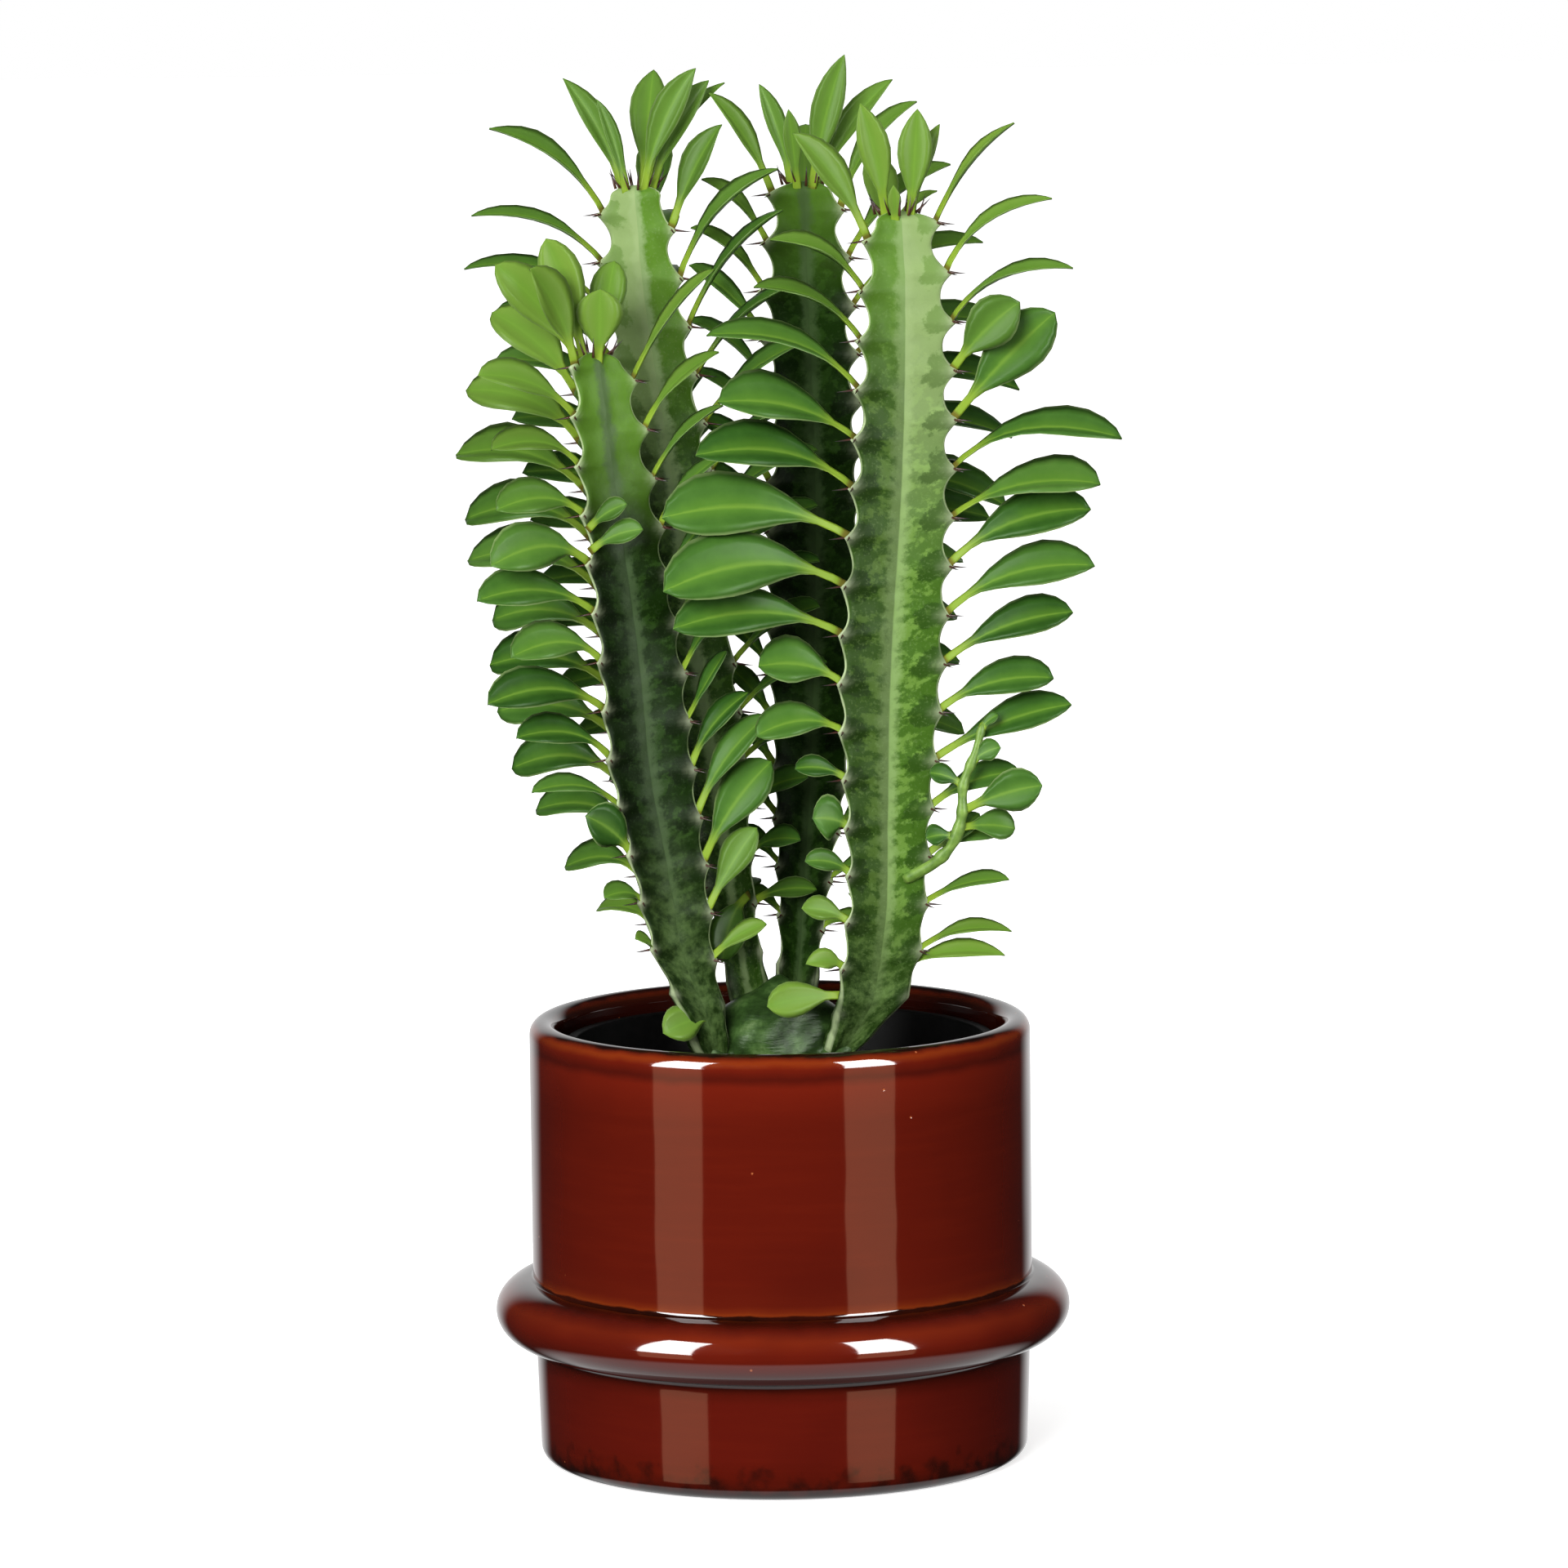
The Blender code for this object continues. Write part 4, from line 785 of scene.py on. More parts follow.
@coat("_waxy_skin", IOR=1.12)
def stem_skin(add, place, greens):
    """Waxy skin of a stem: a ragged dark blotch beside every tubercle, pale bands between them that
    arch down into a milky speckled valley, a thin shiny edge along the ridge with a painted
    highlight in pale dashes and a whitish flare on each tubercle, painted shade on the left half of
    a face, one half of a face milky near the top, partly real bloom and partly painted sheen, and
    bluer and duller skin at the base."""
    across, rung, age, horn, half = (add("Attribute:" + key).outputs["Fac"]
                                     for key in ("across", "rung", "age", "horn", "half"))
    drift = add("TexNoise", (place, None, per_mm(8), 2.0))
    fleck = add("TexNoise", (place, None, per_mm(2.2), 7.0, 0.68))
    # Barbs that rise from the valley to the ridge, about 7 mm long and 4 mm high
    barb = add("Math:MULTIPLY_ADD", (across, 0.25, rung))
    face = add("CombineXYZ", (across, barb, half))
    face = add("Mapping", {"Vector": face, "Scale": (FACE_WIDTH / 7, PITCH / 4, 5.0)})
    streak = add("TexNoise", (face, None, 1.0, 4.0, 0.6))
    # How far a point is from a blotch: across the face, and up or down from its tubercle
    sink = add("Math:MULTIPLY_ADD", (across, 0.30, rung))
    sink = add("Math:MULTIPLY_ADD", (drift, 0.30, sink))
    turn = add("Math:MULTIPLY_ADD", (sink, 2 * math.pi, -0.46 * math.pi))
    level = add("Math:MULTIPLY_ADD", (add("Math:COSINE", (turn,)), -0.5, 0.5))
    near = add("Math:ADD", (level, add("MapRange", (across, 0.36, 0.80))))
    for grain in (fleck, streak):
        near = add("Math:MULTIPLY_ADD", (grain, 1.3, near))
    dark = add("MapRange:SMOOTHSTEP", (near, 1.72, 2.02, 1.0, 0.0))
    dark = add("Math:MULTIPLY", (dark, 0.75))
    feather = add("Math:MULTIPLY_ADD", (fleck, 0.5, streak))
    feather = add("Math:MULTIPLY_ADD", (across, 0.20, feather))
    light = add("MapRange:SMOOTHSTEP", (feather, 0.84, 0.97, 0.0, 0.85))
    ragged = add("Math:MULTIPLY_ADD", (fleck, 0.35, across))
    ragged = add("Math:MULTIPLY_ADD", (streak, 0.30, ragged))
    milky = add("MapRange:SMOOTHSTEP", (ragged, 1.03, 1.26, 0.0, 0.8))
    # Young growth at the top is yellower and plainer; one half of a face may turn milky there,
    # partly real bloom and partly painted sheen
    young = add("MapRange:SMOOTHSTEP", (age, greens.young, greens.young + 0.24, 0.0, 0.8))
    vivid = add("Mix:RGBA", {0: milky, 6: "5F8A2A", 7: greens.milk})
    # Painted shade: the left half of a face is darkened towards 040A02 by the stem's share
    layers = [(light, greens.pale), (dark, greens.deep), (milky, greens.milk),
              (add("Math:MULTIPLY", (half, greens.shade)), "040A02"), (young, vivid)]
    # Milky half near the top: real bloom with a painted sheen
    if greens.veil >= 0:
        veil = add("Math:COMPARE", (half, greens.veil, 0.4))
        for share in (add("MapRange:SMOOTHSTEP", (age, 0.55, 0.9, 0.0, 0.75)),
                      add("Math:MULTIPLY_ADD", (dark, -0.7, 1.0))):
            veil = add("Math:MULTIPLY", (veil, share))
        layers.append((veil, "98AE74"))
    old = add("MapRange:SMOOTHSTEP", (age, 0.3 * greens.old, greens.old, 0.85, 0.0))
    dull = add("MapRange", (feather, 0.72, 1.08))
    dull = add("Mix:RGBA", {0: dull, 6: "1F3310", 7: "5A743F"})
    # Fine pale specks, half a millimetre wide
    dust = add("TexNoise", (place, None, per_mm(0.9), 3.0))
    specks = add("MapRange:SMOOTHSTEP", (dust, 0.56, 0.68, 0.0, 0.14))
    # Shiny edge of a ridge with a painted highlight in pale dashes, and the whitish flare on a
    # tubercle
    edge = add("MapRange", (across, 0.012, 0.035, 1.0, 0.0))
    painted_edge_highlight = add("Math:MULTIPLY", (edge, add("MapRange", (drift, 0.40, 0.55, 0.35, 0.9))))
    flare = add("Math:MULTIPLY", (horn, 0.6))
    colour = greens.mid
    for share, hue in layers + [(old, dull), (specks, greens.milk), (painted_edge_highlight, "B9CC9A"),
                                (flare, "BCC7A2")]:
        colour = add("Mix:RGBA", {0: share, 6: colour, 7: hue})
    dry = add("MapRange", (fleck, 0.0, 1.0, 0.30, 0.56))
    return {"Base Color": colour, "Roughness": add("Mix", {0: edge, 2: dry, 3: 0.18}),
            "Normal": add("Bump", {"Height": fleck, "Strength": 0.25, "Distance": 0.5 * MM})}


@coat("fleshy_leaf", IOR=1.15)
def leaf_skin(add, place):
    """Fleshy leaf: glossy green with a yellow midrib band that runs on into the stalk, a thin pale
    margin and a greyer underside; each leaf has its own depth of green."""
    along, across, under, tone, youth = (add("Attribute:" + key).outputs["Fac"]
                                         for key in ("along", "across", "under", "tone", "youth"))
    out = add("Math:ABSOLUTE", (across,))
    mottle = add("TexNoise", (place, None, per_mm(6), 5.0, 0.6))
    depth = add("Math:MULTIPLY_ADD", (mottle, 0.35, tone))
    colour = add("ValToRGB", (depth,), ((0.10, "234313"), (0.40, "335B1F"), (0.70, "48722B"),
                                        (1.0, "5F853A")))
    # The midrib glows softly over the middle third and is palest along its line
    glow = add("MapRange:SMOOTHSTEP", (out, 0.0, 0.5, 0.42, 0.0))
    narrow = add("MapRange", (along, 0.2, 1.0, 0.20, 0.05))
    rib = add("MapRange", (add("Math:DIVIDE", (out, narrow)), 0.1, 1.0, 0.44, 0.0))
    grown = add("Math:MULTIPLY_ADD", (youth, -0.9, 1.0))
    rib = add("Math:MULTIPLY", (rib, grown))
    # Underside, stalk, the small scar at its foot, and the thin margin of the blade
    below = add("MapRange", (under, 0.02, 0.12, 0.0, 0.6))
    stalk = add("MapRange:SMOOTHSTEP", (along, 0.14, 0.36, 0.9, 0.0))
    scar = add("MapRange", (along, 0.045, 0.07, 0.7, 0.0))
    rim = add("MapRange", (out, 0.88, 0.985, 0.0, 0.8))
    for share in (add("Math:GREATER_THAN", (along, 0.24)), grown):
        rim = add("Math:MULTIPLY", (rim, share))
    for share, hue in ((youth, "7DA03C"), (glow, "63922C"), (rib, "82A83E"), (below, "567636"),
                       (stalk, "8CAA34"), (scar, "6B4526"), (rim, "9FBC76")):
        colour = add("Mix:RGBA", {0: share, 6: colour, 7: hue})
    return {"Base Color": colour, "Roughness": add("MapRange", (mottle, 0.0, 1.0, 0.26, 0.46)),
            "Normal": add("Bump", {"Height": mottle, "Strength": 0.22, "Distance": 0.5 * MM})}


@coat("young_shoot_skin", Roughness=0.45, IOR=1.3)
def shoot_skin(add, place):
    """Young side shoot: soft yellow-green skin, barely mottled."""
    mottle = add("TexNoise", (place, None, per_mm(3), 4.0))
    return {"Base Color": add("ValToRGB", (mottle,), ((0.3, "557A2C"), (0.7, "8AAE4E"))),
            "Normal": add("Bump", {"Height": mottle, "Strength": 0.2, "Distance": 0.3 * MM})}


@coat("horny_spine", Roughness=0.42, IOR=1.5)
def thorn(add, place):
    """Horny spine: red-brown at the root and nearly black at the point, with a dry gloss."""
    grain = add("TexNoise", (place, None, per_mm(0.8), 3.0))
    shift = add("Math:MULTIPLY_ADD", (grain, 0.3, add("Attribute:along").outputs["Fac"]))
    return {"Base Color": add("ValToRGB", (shift,), ((0.15, "5E3822"), (0.45, "4A2014"),
                                                     (0.95, "1A0C09")))}


@coat("matt_white_floor", Roughness=0.9, Emission_Color="FFFFFF")
def pale_floor(add, place):
    """Matt white studio floor that fades into the white backdrop some way from the pot."""
    away = add("VectorMath:LENGTH", (place,)).outputs["Value"]
    cloud = add("TexNoise", (place, None, per_mm(300), 2.0))
    return {"Base Color": add("ValToRGB", (cloud,), ((0.3, "F4F4F3"), (0.7, "F8F8F7"))),
            "Emission Strength": add("MapRange:SMOOTHSTEP", (away, 0.08, 0.30, 0.62, 1.0))}


# Pot and soil
def planter_profile():
    """Profile of the planter from the middle of its inner floor over the lip to its foot."""
    wall = (POT_RADIUS - POT_MOUTH_RADIUS) / 2
    ring_radius = RING_REACH - RING_DEEP
    cove = POT_WAIST_RADIUS + RING_COVE
    top_turn = math.degrees(math.acos((POT_RADIUS - ring_radius) / RING_DEEP))
    low_turn = math.degrees(math.acos((cove - ring_radius) / RING_DEEP))
    waist = RING_CENTRE - RING_HALF * math.sin(math.radians(low_turn)) - RING_COVE
    lip = POT_HEIGHT - wall
    profile = [(r, POT_FLOOR) for r in (0.5, 20, 40, 55)]
    profile += arc(POT_FLOOR_RADIUS - 5, POT_FLOOR + 5, 5, -90, 0, 8)
    profile += [(POT_FLOOR_RADIUS + s * (POT_MOUTH_RADIUS - POT_FLOOR_RADIUS),
                 POT_FLOOR + 5 + s * (lip - POT_FLOOR - 5)) for s in (0.25, 0.5, 0.75, 0.95)]
    profile += arc(POT_RADIUS - wall, lip, wall, 180, 0, 22)
    profile += [(POT_RADIUS, z) for z in np.linspace(lip - 2, RING_CENTRE + RING_HALF + 1, 18)]
    profile += arc(ring_radius, RING_CENTRE, RING_DEEP, top_turn, -low_turn, 40, RING_HALF)
    profile += arc(cove, waist, RING_COVE, 90, 180, 6)[1:]
    profile += [(np.interp(z, (FOOT_ROUND, waist), (POT_FOOT_RADIUS, POT_WAIST_RADIUS)), z)
                for z in np.linspace(waist - 2, FOOT_ROUND + 1, 8)]
    profile += arc(POT_FOOT_RADIUS - FOOT_ROUND, FOOT_ROUND, FOOT_ROUND, 0, -90, 9)
    return profile + [(50, 0), (25, 0), (0.5, 0)]


def make_grow_pot():
    """The grow pot, turned finely from its profile, with its four drain holes cut."""
    base = POT_FLOOR + GAP
    inside = GROW_TOP_RADIUS - GROW_WALL
    profile = [(0.5, base + GROW_WALL), (30, base + GROW_WALL)]
    profile += arc(GROW_BASE_RADIUS - GROW_WALL - 2, base + GROW_WALL + 2, 2, -90, 0, 5)
    profile += arc(inside + 0.5, GROW_TOP - 0.5, 0.5, 180, 90, 4)
    profile += arc(GROW_LIP_RADIUS - 0.6, GROW_TOP - 0.6, 0.6, 90, 0, 5)
    profile += [(GROW_LIP_RADIUS, GROW_TOP - GROW_LIP_DEPTH),
                (GROW_TOP_RADIUS - 0.4, GROW_TOP - GROW_LIP_DEPTH), (GROW_BASE_RADIUS, base),
                (30, base), (0.5, base)]
    piece = surface("nursery_pot", *turned(profile))
    cutters = []
    for bearing in (45, 135, 225, 315):
        drill, faces, caps = turned(((DRAIN_RADIUS, base + 6), (DRAIN_RADIUS, base - 4)), 24)
        cutters.append(surface("drain_cutter", drill + DRAIN_CIRCLE * compass(bearing), faces,
                               caps))
        cut = piece.modifiers.new("drain", "BOOLEAN")
        cut.operation = "DIFFERENCE"
        cut.object = cutters[-1]
    settle(piece)
    for cutter in cutters:
        bpy.data.objects.remove(cutter)
    dress(piece, black_plastic(), "grow_pot", "grow_pot")


def soil_side(z):
    """Radius of the soil at a height, just inside the grow pot's wall."""
    low = POT_FLOOR + GAP + GROW_WALL
    return np.interp(z, (low, GROW_TOP), (GROW_BASE_RADIUS - GROW_WALL,
                                          GROW_TOP_RADIUS - GROW_WALL)) - 0.4


def soil_height(points):
    """Height of the soil under points: a low mound, uneven by smooth waves of two sizes."""
    flat = points * (1, 1, 0)
    mound = np.interp(np.hypot(points[..., 0], points[..., 1]), (0, 32, 48, 61),
                      (SOIL_TOP + 1.8, SOIL_TOP + 2.0, SOIL_TOP + 0.6, SOIL_TOP - 1.0))
    return mound + 0.55 * wavy(flat, 11.0, 3) + 0.4 * wavy(flat, 3.6, 4)


def make_soil():
    """Peat: a turned body whose top follows the uneven height, strewn with crumbs. A crumb is a
    cube with its corners pushed in and out at random."""
    floor = POT_FLOOR + 2 * GAP + GROW_WALL
    edge = soil_side(SOIL_TOP)
    radii = np.linspace(0.5, edge, 62)
    points, faces, caps = turned([(r, SOIL_TOP) for r in radii]
                                 + [(edge, SOIL_TOP - 4), (soil_side(floor), floor), (0.5, floor)])
    top = slice(0, len(radii))
    points[top, :, 2] = soil_height(points[top])
    material = peat()
    dress(surface("peat_fill", points, faces, caps), material, "soil", "soil")
    rng = np.random.default_rng(SEED + 40)
    away = (edge - 2.5) * np.sqrt(rng.uniform(0.12, 1, (CRUMBS, 1)))
    centre = away * compass(rng.uniform(0, 360, CRUMBS))
    size = rng.uniform(0.35, 1.0, (CRUMBS, 1)) ** 2 * CRUMB_SIZE
    centre[:, 2] = soil_height(centre) + 0.3 * size[:, 0]
    square = ((-1, -1), (1, -1), (1, 1), (-1, 1))
    corners = np.array([(x, y, z) for z in (-1, 1) for x, y in square])
    spread = rng.uniform(0.45, 1.0, (CRUMBS, 8, 3)) * rng.uniform(0.5, 1.3, (CRUMBS, 1, 3))
    crumbs = (centre[:, None] + size[:, None] * spread * corners).reshape(CRUMBS, 2, 4, 3)
    dress(swarm("peat_crumbs", crumbs, [(0, 3, 2, 1)], [(0, 1, 2, 3)]), material, "soil")


# Plant
def ridges_at(stem, levels):
    """For each level and ridge: the ridge's reach, its count of tubercles from the top, how far
    the nearest tubercle is, and the share of the ridged form, which is lost in the trunk. Between
    two tubercles the edge is bitten in by BITE, less lower down, as 1 - |2 q - 1|^2.2 with q the
    share of the way from one to the next, so that each tubercle stands out as a blunt tooth."""
    radius = stem_at(stem, levels)[1][:, None]
    rung = (levels[:, None] - ridge_tops(stem)) / PITCH
    above = rung % 1.0
    ridged = ease(levels, stem.joint - 16, stem.joint + 8)[:, None]
    dip = 1 - np.abs(2 * above ** 0.85 - 1) ** 2.2
    bite = BITE * (0.45 + 0.55 * ease(levels, 200, 340)[:, None]) * np.minimum(radius / 15, 1)
    nearest = PITCH * np.abs((above + 0.5) % 1.0 - 0.5)
    return radius - bite * dip * ridged, rung, nearest, ridged


def make_stem_skin(stem, material):
    """Skin of a stem: level rows, each a line from a ridge's edge to the valley beside it and back
    out, bowed slightly inwards. A ridge's edge has a small thickness, more at a tubercle, and
    sways a little between tubercles. The crown closes as a flat half ellipse, and the lower end
    shrinks to SKIN_FOOT of its size inside the trunk's limb."""
    foot, high = stem.axis[0][2] + 2, stem.axis[-1][2]
    levels = np.append(np.arange(foot, high + 1.0, STEM_ROW), (high + 1.2, high + 1.4, high + 1.5))
    shrunk = (SKIN_FOOT + (1 - SKIN_FOOT) * ease(levels, foot, foot + 9))[:, None]
    centre, radius = (each[:, None] for each in stem_at(stem, levels))
    radius = radius * shrunk
    reach, rung, nearest, ridged = ridges_at(stem, levels)
    outward, inward = FACE_SHARES, FACE_SHARES[-2:0:-1]
    share = np.array((outward + inward) * 3)
    hand = np.array(([1.0] * len(outward) + [-1.0] * len(inward)) * 3)
    ridge = np.concatenate([[k] * len(outward) + [(k + 1) % 3] * len(inward) for k in range(3)])
    edge_way, valley_way, side_way, face_way = (compass(ridge_bearing(stem, ridge) + turn * hand)
                                                for turn in (0, 60, 90, 66))
    valley = radius * (LOOK_VALLEY * ridged + ROOT_VALLEY * (1 - ridged))
    swell = TUBERCLE_SWELL * np.exp(-(nearest[:, ridge] / SWELL_LENGTH) ** 2)
    thick = (RIDGE_EDGE + swell) * ridged + ROOT_EDGE * (1 - ridged)
    thick = thick * np.sin(np.minimum(share / 0.08, 1) * np.pi / 2) * (1 - share) ** 2
    sway = SWAY * np.sin(2 * np.pi * rung[:, ridge]) * hand * (1 - share) ** 2 * ridged
    bow = radius * (BOW * ridged + ROOT_BOW * (1 - ridged)) * np.sin(np.pi * share)
    above = np.maximum(levels - (high - CROWN_DEPTH), 0) / CROWN_ROUND
    crown = np.sqrt(np.clip(1 - above ** 2, 0, 1))[:, None]
    points = centre + sum((size * crown)[..., None] * way for size, way in (
        ((reach * shrunk)[:, ridge] * (1 - share), edge_way), (valley * share, valley_way),
        (thick + sway, side_way), (-bow, face_way)))
    points += ROLL * np.sign(ridged)[..., None] * wavy(points, 6.0, SEED)[..., None] * face_way
    piece = surface(stem.name + "_skin", points, *tube_faces(len(levels), len(share)))
    full = np.ones_like(points[..., 0])
    store(piece, across=share * full, rung=rung[:, ridge], half=(1 + hand) / 2 * full,
          age=((levels - foot) / (high - foot))[:, None] * full,
          horn=np.exp(-((nearest[:, ridge] + 12 * share) / 2.1) ** 2) * ridged)
    dress(piece, material, "stems", stem.name)


def make_leaves(name, crown, leaves, material, slot):
    """All leaves of a node. Half a leaf's width is sin(pi s^a)^b of the widest, s running from the
    stalk's end to the tip, with a near 1.6 and b near 0.62 for the blunt grown leaves, and 1.25
    and 0.82 for the pointed young ones; it is folded along the midrib, each half a little
    pillowed, and its edges ripple slightly."""
    rng = np.random.default_rng(SEED + 60)
    count = (len(leaves), 1, 1)
    roots, headings, leafings = zip(*leaves)
    root = np.array(roots)[:, None]
    leafing = Leafing(*np.array(leafings).T[..., None, None])
    t = np.array(LEAF_ROWS)[:, None]
    line, _, upper, side = leaf_curve(root, np.array(headings)[:, None], leafing, t)
    s = np.clip((t - 0.2) / 0.8, 0, 1)
    young = np.maximum(ease(root[..., 2:], crown - 70, crown + 5),
                       1 - ease(root[..., 2:], 150, 185))
    slim = young * (crown > 340)
    widest = 1.6 - 0.35 * slim + rng.uniform(-0.12, 0.12, count)
    point = 0.62 + 0.2 * slim + rng.uniform(-0.04, 0.04, count)
    blade = np.sin(np.pi * s ** widest).clip(0) ** point * leafing.width / 2 * (1 - 0.2 * slim)
    ahead = ease(t, 0.1, 1.0)
    half = (blade ** 4 + (STALK_HALF - (STALK_HALF - TIP_HALF) * ahead) ** 4) ** 0.25
    spread = ease(t, 0.14, 0.34)
    fold = LEAF_FOLD * (1 + 0.5 * slim) * half * spread + 0.25 * (1 - spread)
    ripple = RIPPLE * half * spread * np.sin(11 * t + rng.uniform(0, 2 * np.pi, count))
    ring = ((1.0, fold + ripple), (0.55, 0.70 * fold + 0.12), (0.0, RIB + 0 * half),
            (-0.55, 0.70 * fold + 0.12), (-1.0, fold - ripple),
            (0.0, (KEEL - TIP_KEEL) * ahead - KEEL + 0 * half))
    points = np.stack([line + a * half * side + lift * upper for a, lift in ring], axis=2)
    piece = swarm(name + "_leaves", points, ((5, 4, 3, 2), (5, 2, 1, 0)),
                  ((0, 1, 2, 5), (2, 3, 4, 5)))
    full = np.ones(points.shape[:3])
    store(piece, along=t * full, across=np.array([a for a, _ in ring]) * full,
          under=np.array((0, 0, 0, 0, 0, 1.0)) * full, tone=rng.uniform(0.08, 0.62, count) * full,
          youth=YOUTH.get(name, 0.85) * young * full * rng.uniform(0.6, 1.0, count))
    dress(piece, material, slot, name)


def make_spines(stem, spines, material):
    """All spines of a stem, and some round its crown: thin four-sided tapers whose points bend
    slightly upwards."""
    rng = np.random.default_rng(SEED + 70)
    centre, radius = stem_at(stem, stem.axis[-1][2])
    roots, headings = zip(*spines)
    heading = np.arange(0, 360, 360 / CROWN_SPINES) + rng.uniform(-12, 12, CROWN_SPINES)
    away = radius * rng.uniform(0.35, 0.62, (CROWN_SPINES, 1))
    root = np.concatenate([roots, centre + away * compass(heading) + 1.6 * UP])[:, None, None]
    fall = np.radians(np.append([SPINE_FALL] * len(spines), rng.uniform(35, 75, CROWN_SPINES)))
    fall = fall[:, None, None, None]
    heading = np.append(headings, heading)[:, None, None]
    along = np.cos(fall) * compass(heading) + np.sin(fall) * UP
    side = compass(heading + 90)
    upper = np.cross(along, side)
    t = np.array((0.0, 0.3, 0.65, 1.0))[None, :, None, None]
    turn = np.radians((0, 90, 180, 270))[None, None, :, None]
    line = root + (t * (SPINE_LENGTH + SPINE_INSET) - SPINE_INSET) * along
    line = line + SPINE_BEND * t * t * upper
    points = line + SPINE_THICK * (1.04 - t) ** 0.75 * (np.cos(turn) * side
                                                        + np.sin(turn) * upper)
    piece = swarm(stem.name + "_spines", points, [(3, 2, 1, 0)], [(0, 1, 2, 3)])
    store(piece, along=t[..., 0] * np.ones(points.shape[:3]))
    dress(piece, material, "stems", stem.name)


def make_side_shoot(material):
    """Side shoot: a tube along its path, thinner towards the tip and swollen at each leaf."""
    share = np.linspace(0, 1, 40)
    knots = sum(np.exp(-((share - leaf[0]) / 0.03) ** 2) for leaf in SHOOT_LEAVES)
    thick = (SHOOT_RADIUS * (1.1 - 0.45 * share) + 0.5 * knots) * np.minimum(1, (1.02 - share) * 16)
    points = shoot_rings(share, 12, thick[:, None, None])
    piece = surface("side_shoot", points, *tube_faces(*points.shape[:2]))
    dress(piece, material, "stems", FRONT_RIGHT.name)


def make_trunk(material):
    """The trunk: a lumpy turned body and four limbs up the stems' axes, melted into one skin. Its
    radius swells by a few sine waves round it; a limb tapers and is soon lost inside its stem."""
    rings = ((SOIL_TOP - SOIL_HOLE_DEPTH + GAP, TRUNK_FOOT_RADIUS),) + TRUNK_BULGE
    height = np.append(rings[0][0], np.linspace(105, TRUNK_BULGE[-1][0] + 3, 26))[:, None]
    size = np.interp(height + 1.5 * ease(height, 122, 134), *zip(*rings))
    size[-4:, 0] *= (0.8, 0.6, 0.35, 0.1)
    angle = np.linspace(0, 2 * np.pi, 48, endpoint=False)
    lumps = 1 + 0.09 * np.sin(2 * angle + 0.8) + 0.07 * np.sin(3 * angle + 0.16 * height)
    lumps += 0.05 * np.sin(5 * angle - 0.3 * height)
    parts = [np.stack([size * lumps * np.cos(angle), size * lumps * np.sin(angle),
                       height + 0 * lumps], axis=-1)]
    for stem in STEMS:
        foot = stem.axis[0][2]
        level = np.linspace(foot, stem.joint, 18)
        centre, radius = stem_at(stem, level)
        thick = radius * (1.05 - 0.85 * ease(level, foot + 2, foot + 13))
        parts.append(centre[:, None] + thick[:, None, None]
                     * compass(np.linspace(0, 360, 24, endpoint=False)))
    faces, caps, start = [], [], 0
    for part in parts:
        sides, ends = tube_faces(*part.shape[:2], start)
        faces.append(sides)
        caps += ends
        start += part[..., 0].size
    piece = surface("trunk_skin", np.concatenate([part.reshape(-1, 3) for part in parts]),
                    np.concatenate(faces), caps)
    melt = piece.modifiers.new("melt", "REMESH")
    melt.mode = "VOXEL"
    melt.voxel_size = 0.9 * MM
    smooth = piece.modifiers.new("smooth", "SMOOTH")
    smooth.iterations = 9
    settle(piece)
    piece.data.shade_smooth()
    dress(piece, material, "trunk", "trunk")


def make_plant():
    """Trunk, and for each stem its skin, leaves and spines."""
    leaf, spine, shoot = leaf_skin(), thorn(), shoot_skin()
    make_trunk(old_skin())
    leaves, spines = plant_layout()
    make_leaves("trunk", 0, leaves["trunk"], leaf, "trunk")
    for stem in STEMS:
        make_stem_skin(stem, stem_skin(STEM_GREENS[stem.name], owner=stem.name))
        make_leaves(stem.name, stem.axis[-1][2], leaves[stem.name], leaf, "stems")
        make_spines(stem, spines[stem.name], spine)
    make_side_shoot(shoot)


# Studio
def make_floor():
    """Plain pale floor, which neither lights the plant nor is mirrored: the world does both."""
    mesh = bpy.data.meshes.new("floor")
    side, low = 9000 * MM, -0.1 * MM
    mesh.from_pydata([(-side, -side, low), (side, -side, low), (side, side, low),
                      (-side, side, low)], [], [(0, 1, 2, 3)])
    mesh.materials.append(pale_floor())
    floor = placed("floor", mesh)
    floor.visible_glossy = False
    floor.visible_diffuse = False


def make_light(name, place, aim, width, height, radiance, mirrored=True, lights=True,
               tint="FFFFFF"):
    """Softbox: its power gives the wanted radiance over its area. It may light only, or be seen
    only as a reflection."""
    data = bpy.data.lights.new(name, "AREA")
    data.shape = "RECTANGLE"
    data.size, data.size_y = width * MM, height * MM
    data.energy = radiance * math.pi * width * height * MM * MM
    data.color = linear(tint)[:3]
    light = placed(name, data)
    light.location = Vector(place) * MM
    way = Vector(aim) * MM - light.location
    light.rotation_euler = way.to_track_quat("-Z", "Y").to_euler()
    light.visible_glossy = mirrored
    light.visible_diffuse = lights
    light.visible_camera = False


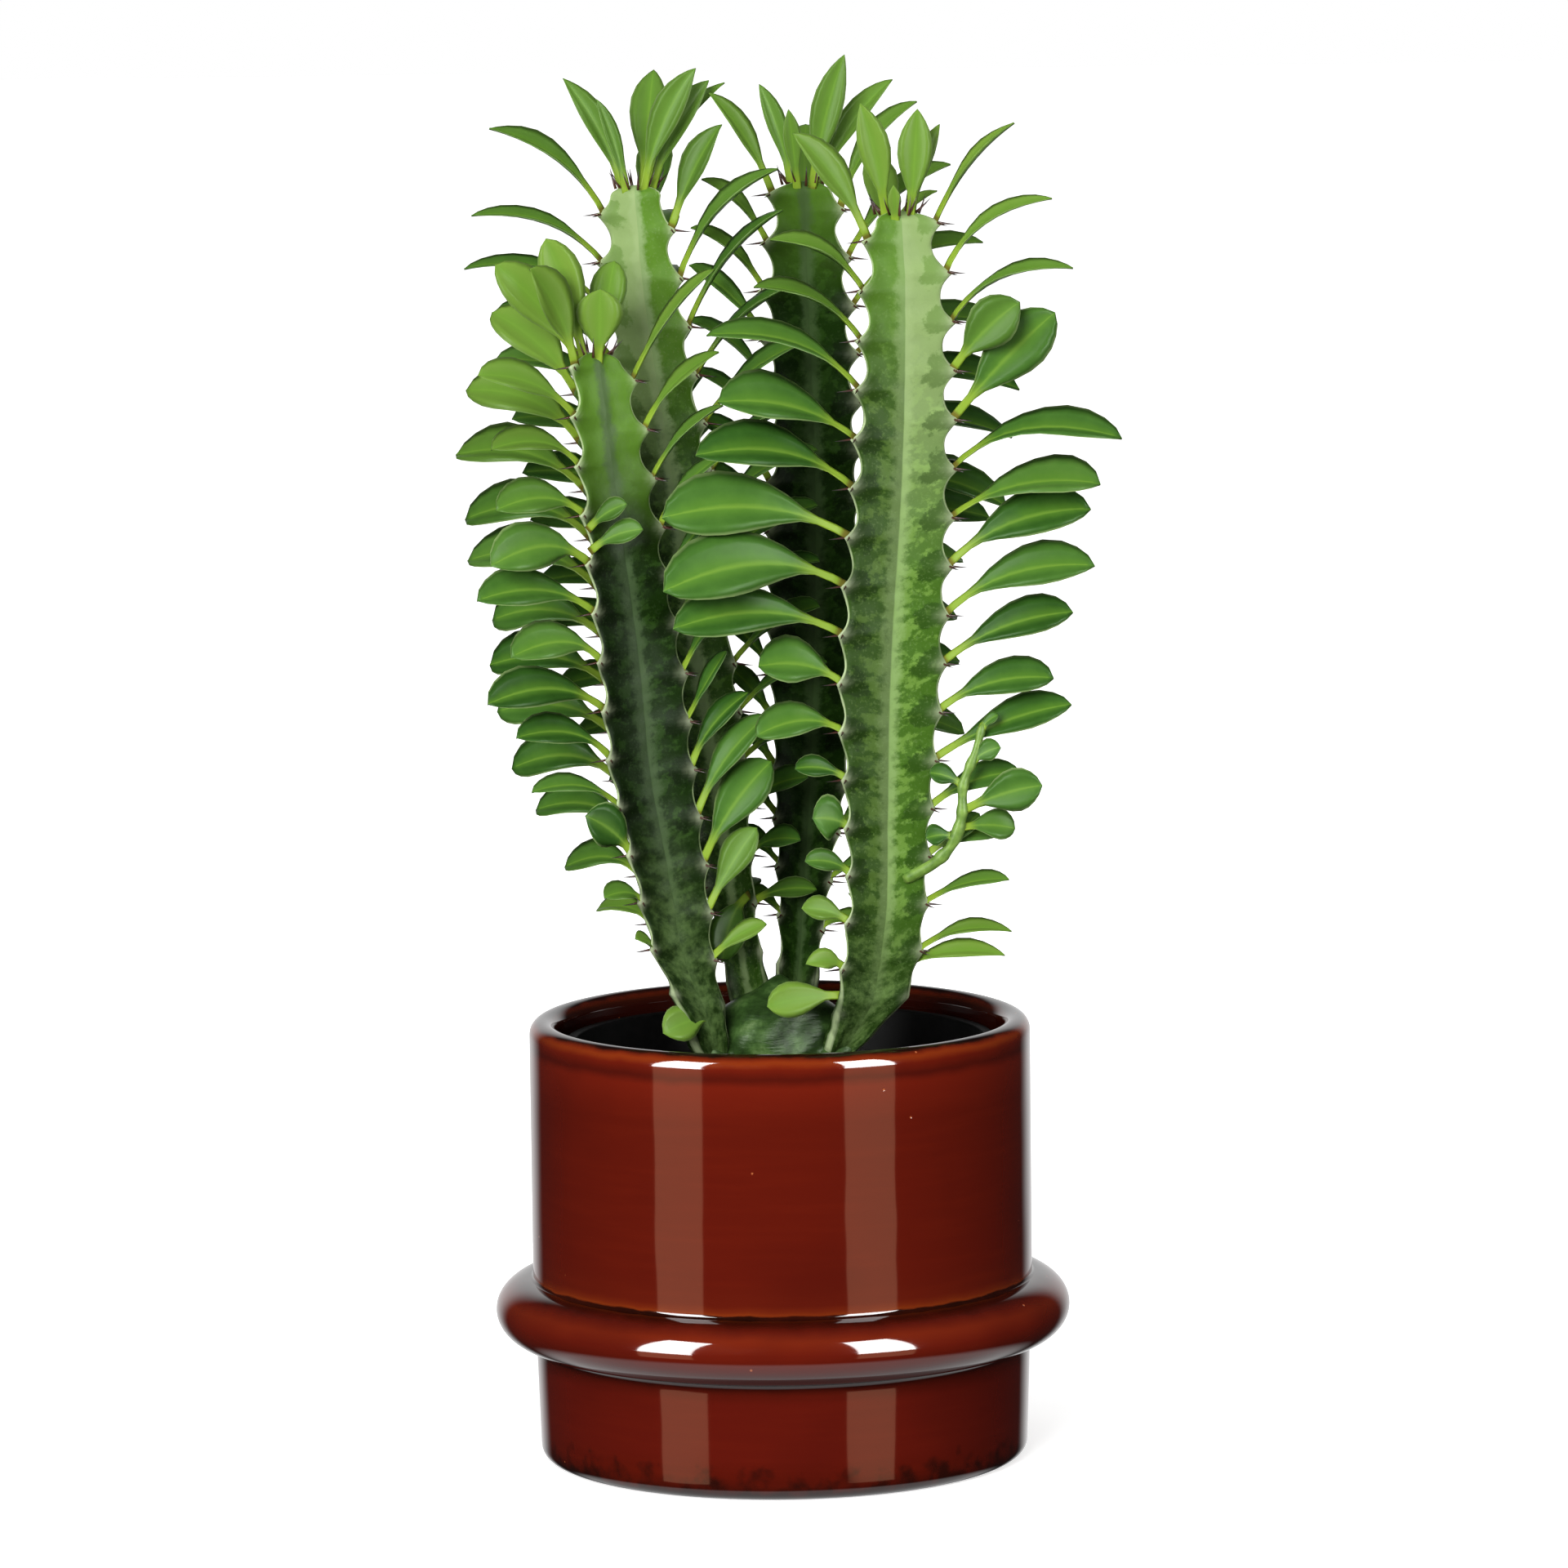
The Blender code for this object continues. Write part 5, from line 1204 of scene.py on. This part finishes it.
def make_lights():
    """Two tall softboxes in front on either side, mirrored brightly, with the dim foot of each that
    the wall mirrors; a key light from the front left, a weak fill and a wide light overhead."""
    for name, bearing in (("left", BOX_LEFT), ("right", BOX_RIGHT)):
        for kind, high, low, radiance, tint in (
                ("softbox_", BOX_TOP, BOX_FOOT, GLINT_RADIANCE, "FFFFFF"),
                ("softbox_foot_", BOX_FOOT, BOX_LOWEST, FOOT_RADIANCE, FOOT_TINT)):
            level = (high + low) / 2 * UP
            make_light(kind + name, BOX_AWAY * compass(-90 + bearing) + level, level, BOX_WIDTH,
                       high - low, radiance, lights=False, tint=tint)
    for name, bearing, away, high, width, height, radiance in (
            ("key", KEY_BEARING, 2000, 900, 900, 900, KEY_RADIANCE),
            ("fill", FILL_BEARING, 1800, 700, 1200, 1200, FILL_RADIANCE),
            ("overhead", 0, 300, 2200, 1800, 1400, TOP_RADIANCE)):
        make_light(name, away * compass(-90 + bearing) + high * UP, 200 * UP, width, height,
                   radiance, mirrored=False)


def make_world():
    """White to the camera and behind the plant, soft light on every matt surface, and dark in
    mirrored directions but for the white behind and the pale floor close below."""
    world = bpy.data.worlds.new("studio")
    bpy.context.scene.world = world
    world.use_nodes = True
    world.node_tree.nodes.clear()
    add = partial(add_node, world.node_tree)
    ray = add("LightPath").outputs
    way = add("SeparateXYZ", (add("TexCoord").outputs["Generated"],)).outputs
    behind = add("MapRange:SMOOTHSTEP", (way["Y"], 0.80, 0.95, 0.02, 0.9))
    below = add("MapRange:SMOOTHSTEP", (way["Z"], -0.48, -0.66, 0.0, FLOOR_RADIANCE))
    mirrored = add("Math:MAXIMUM", (behind, below))
    sky = add("MapRange", (way["Z"], -1.0, 1.0, AMBIENT_BELOW, AMBIENT_ABOVE))
    matt = add("Mix", {0: ray["Is Glossy Ray"], 2: sky, 3: mirrored})
    seen = add("Mix", {0: ray["Is Camera Ray"], 2: matt, 3: 1.0})
    add("OutputWorld", {"Surface": add("Background", ("FFFFFF", seen))})


def make_camera():
    """Camera at the photograph's place, turned slightly about its line of sight."""
    data = bpy.data.cameras.new("camera")
    data.lens, data.sensor_width = CAMERA_LENS, SENSOR
    data.clip_end = 50.0
    camera = placed("camera", data)
    way = Vector(CAMERA_AIM) - Vector(CAMERA_PLACE)
    turn = way.to_track_quat("-Z", "Y").to_matrix().to_4x4()
    roll = Matrix.Rotation(math.radians(CAMERA_ROLL), 4, "Z")
    camera.matrix_world = Matrix.Translation(Vector(CAMERA_PLACE) * MM) @ turn @ roll
    bpy.context.scene.camera = camera


make_camera()
make_world()
make_lights()
make_floor()
dress(surface("glazed_planter", *turned(planter_profile())), glaze(), "planter", "planter")
make_grow_pot()
make_soil()
make_plant()
bpy.context.scene.view_settings.view_transform = "Standard"
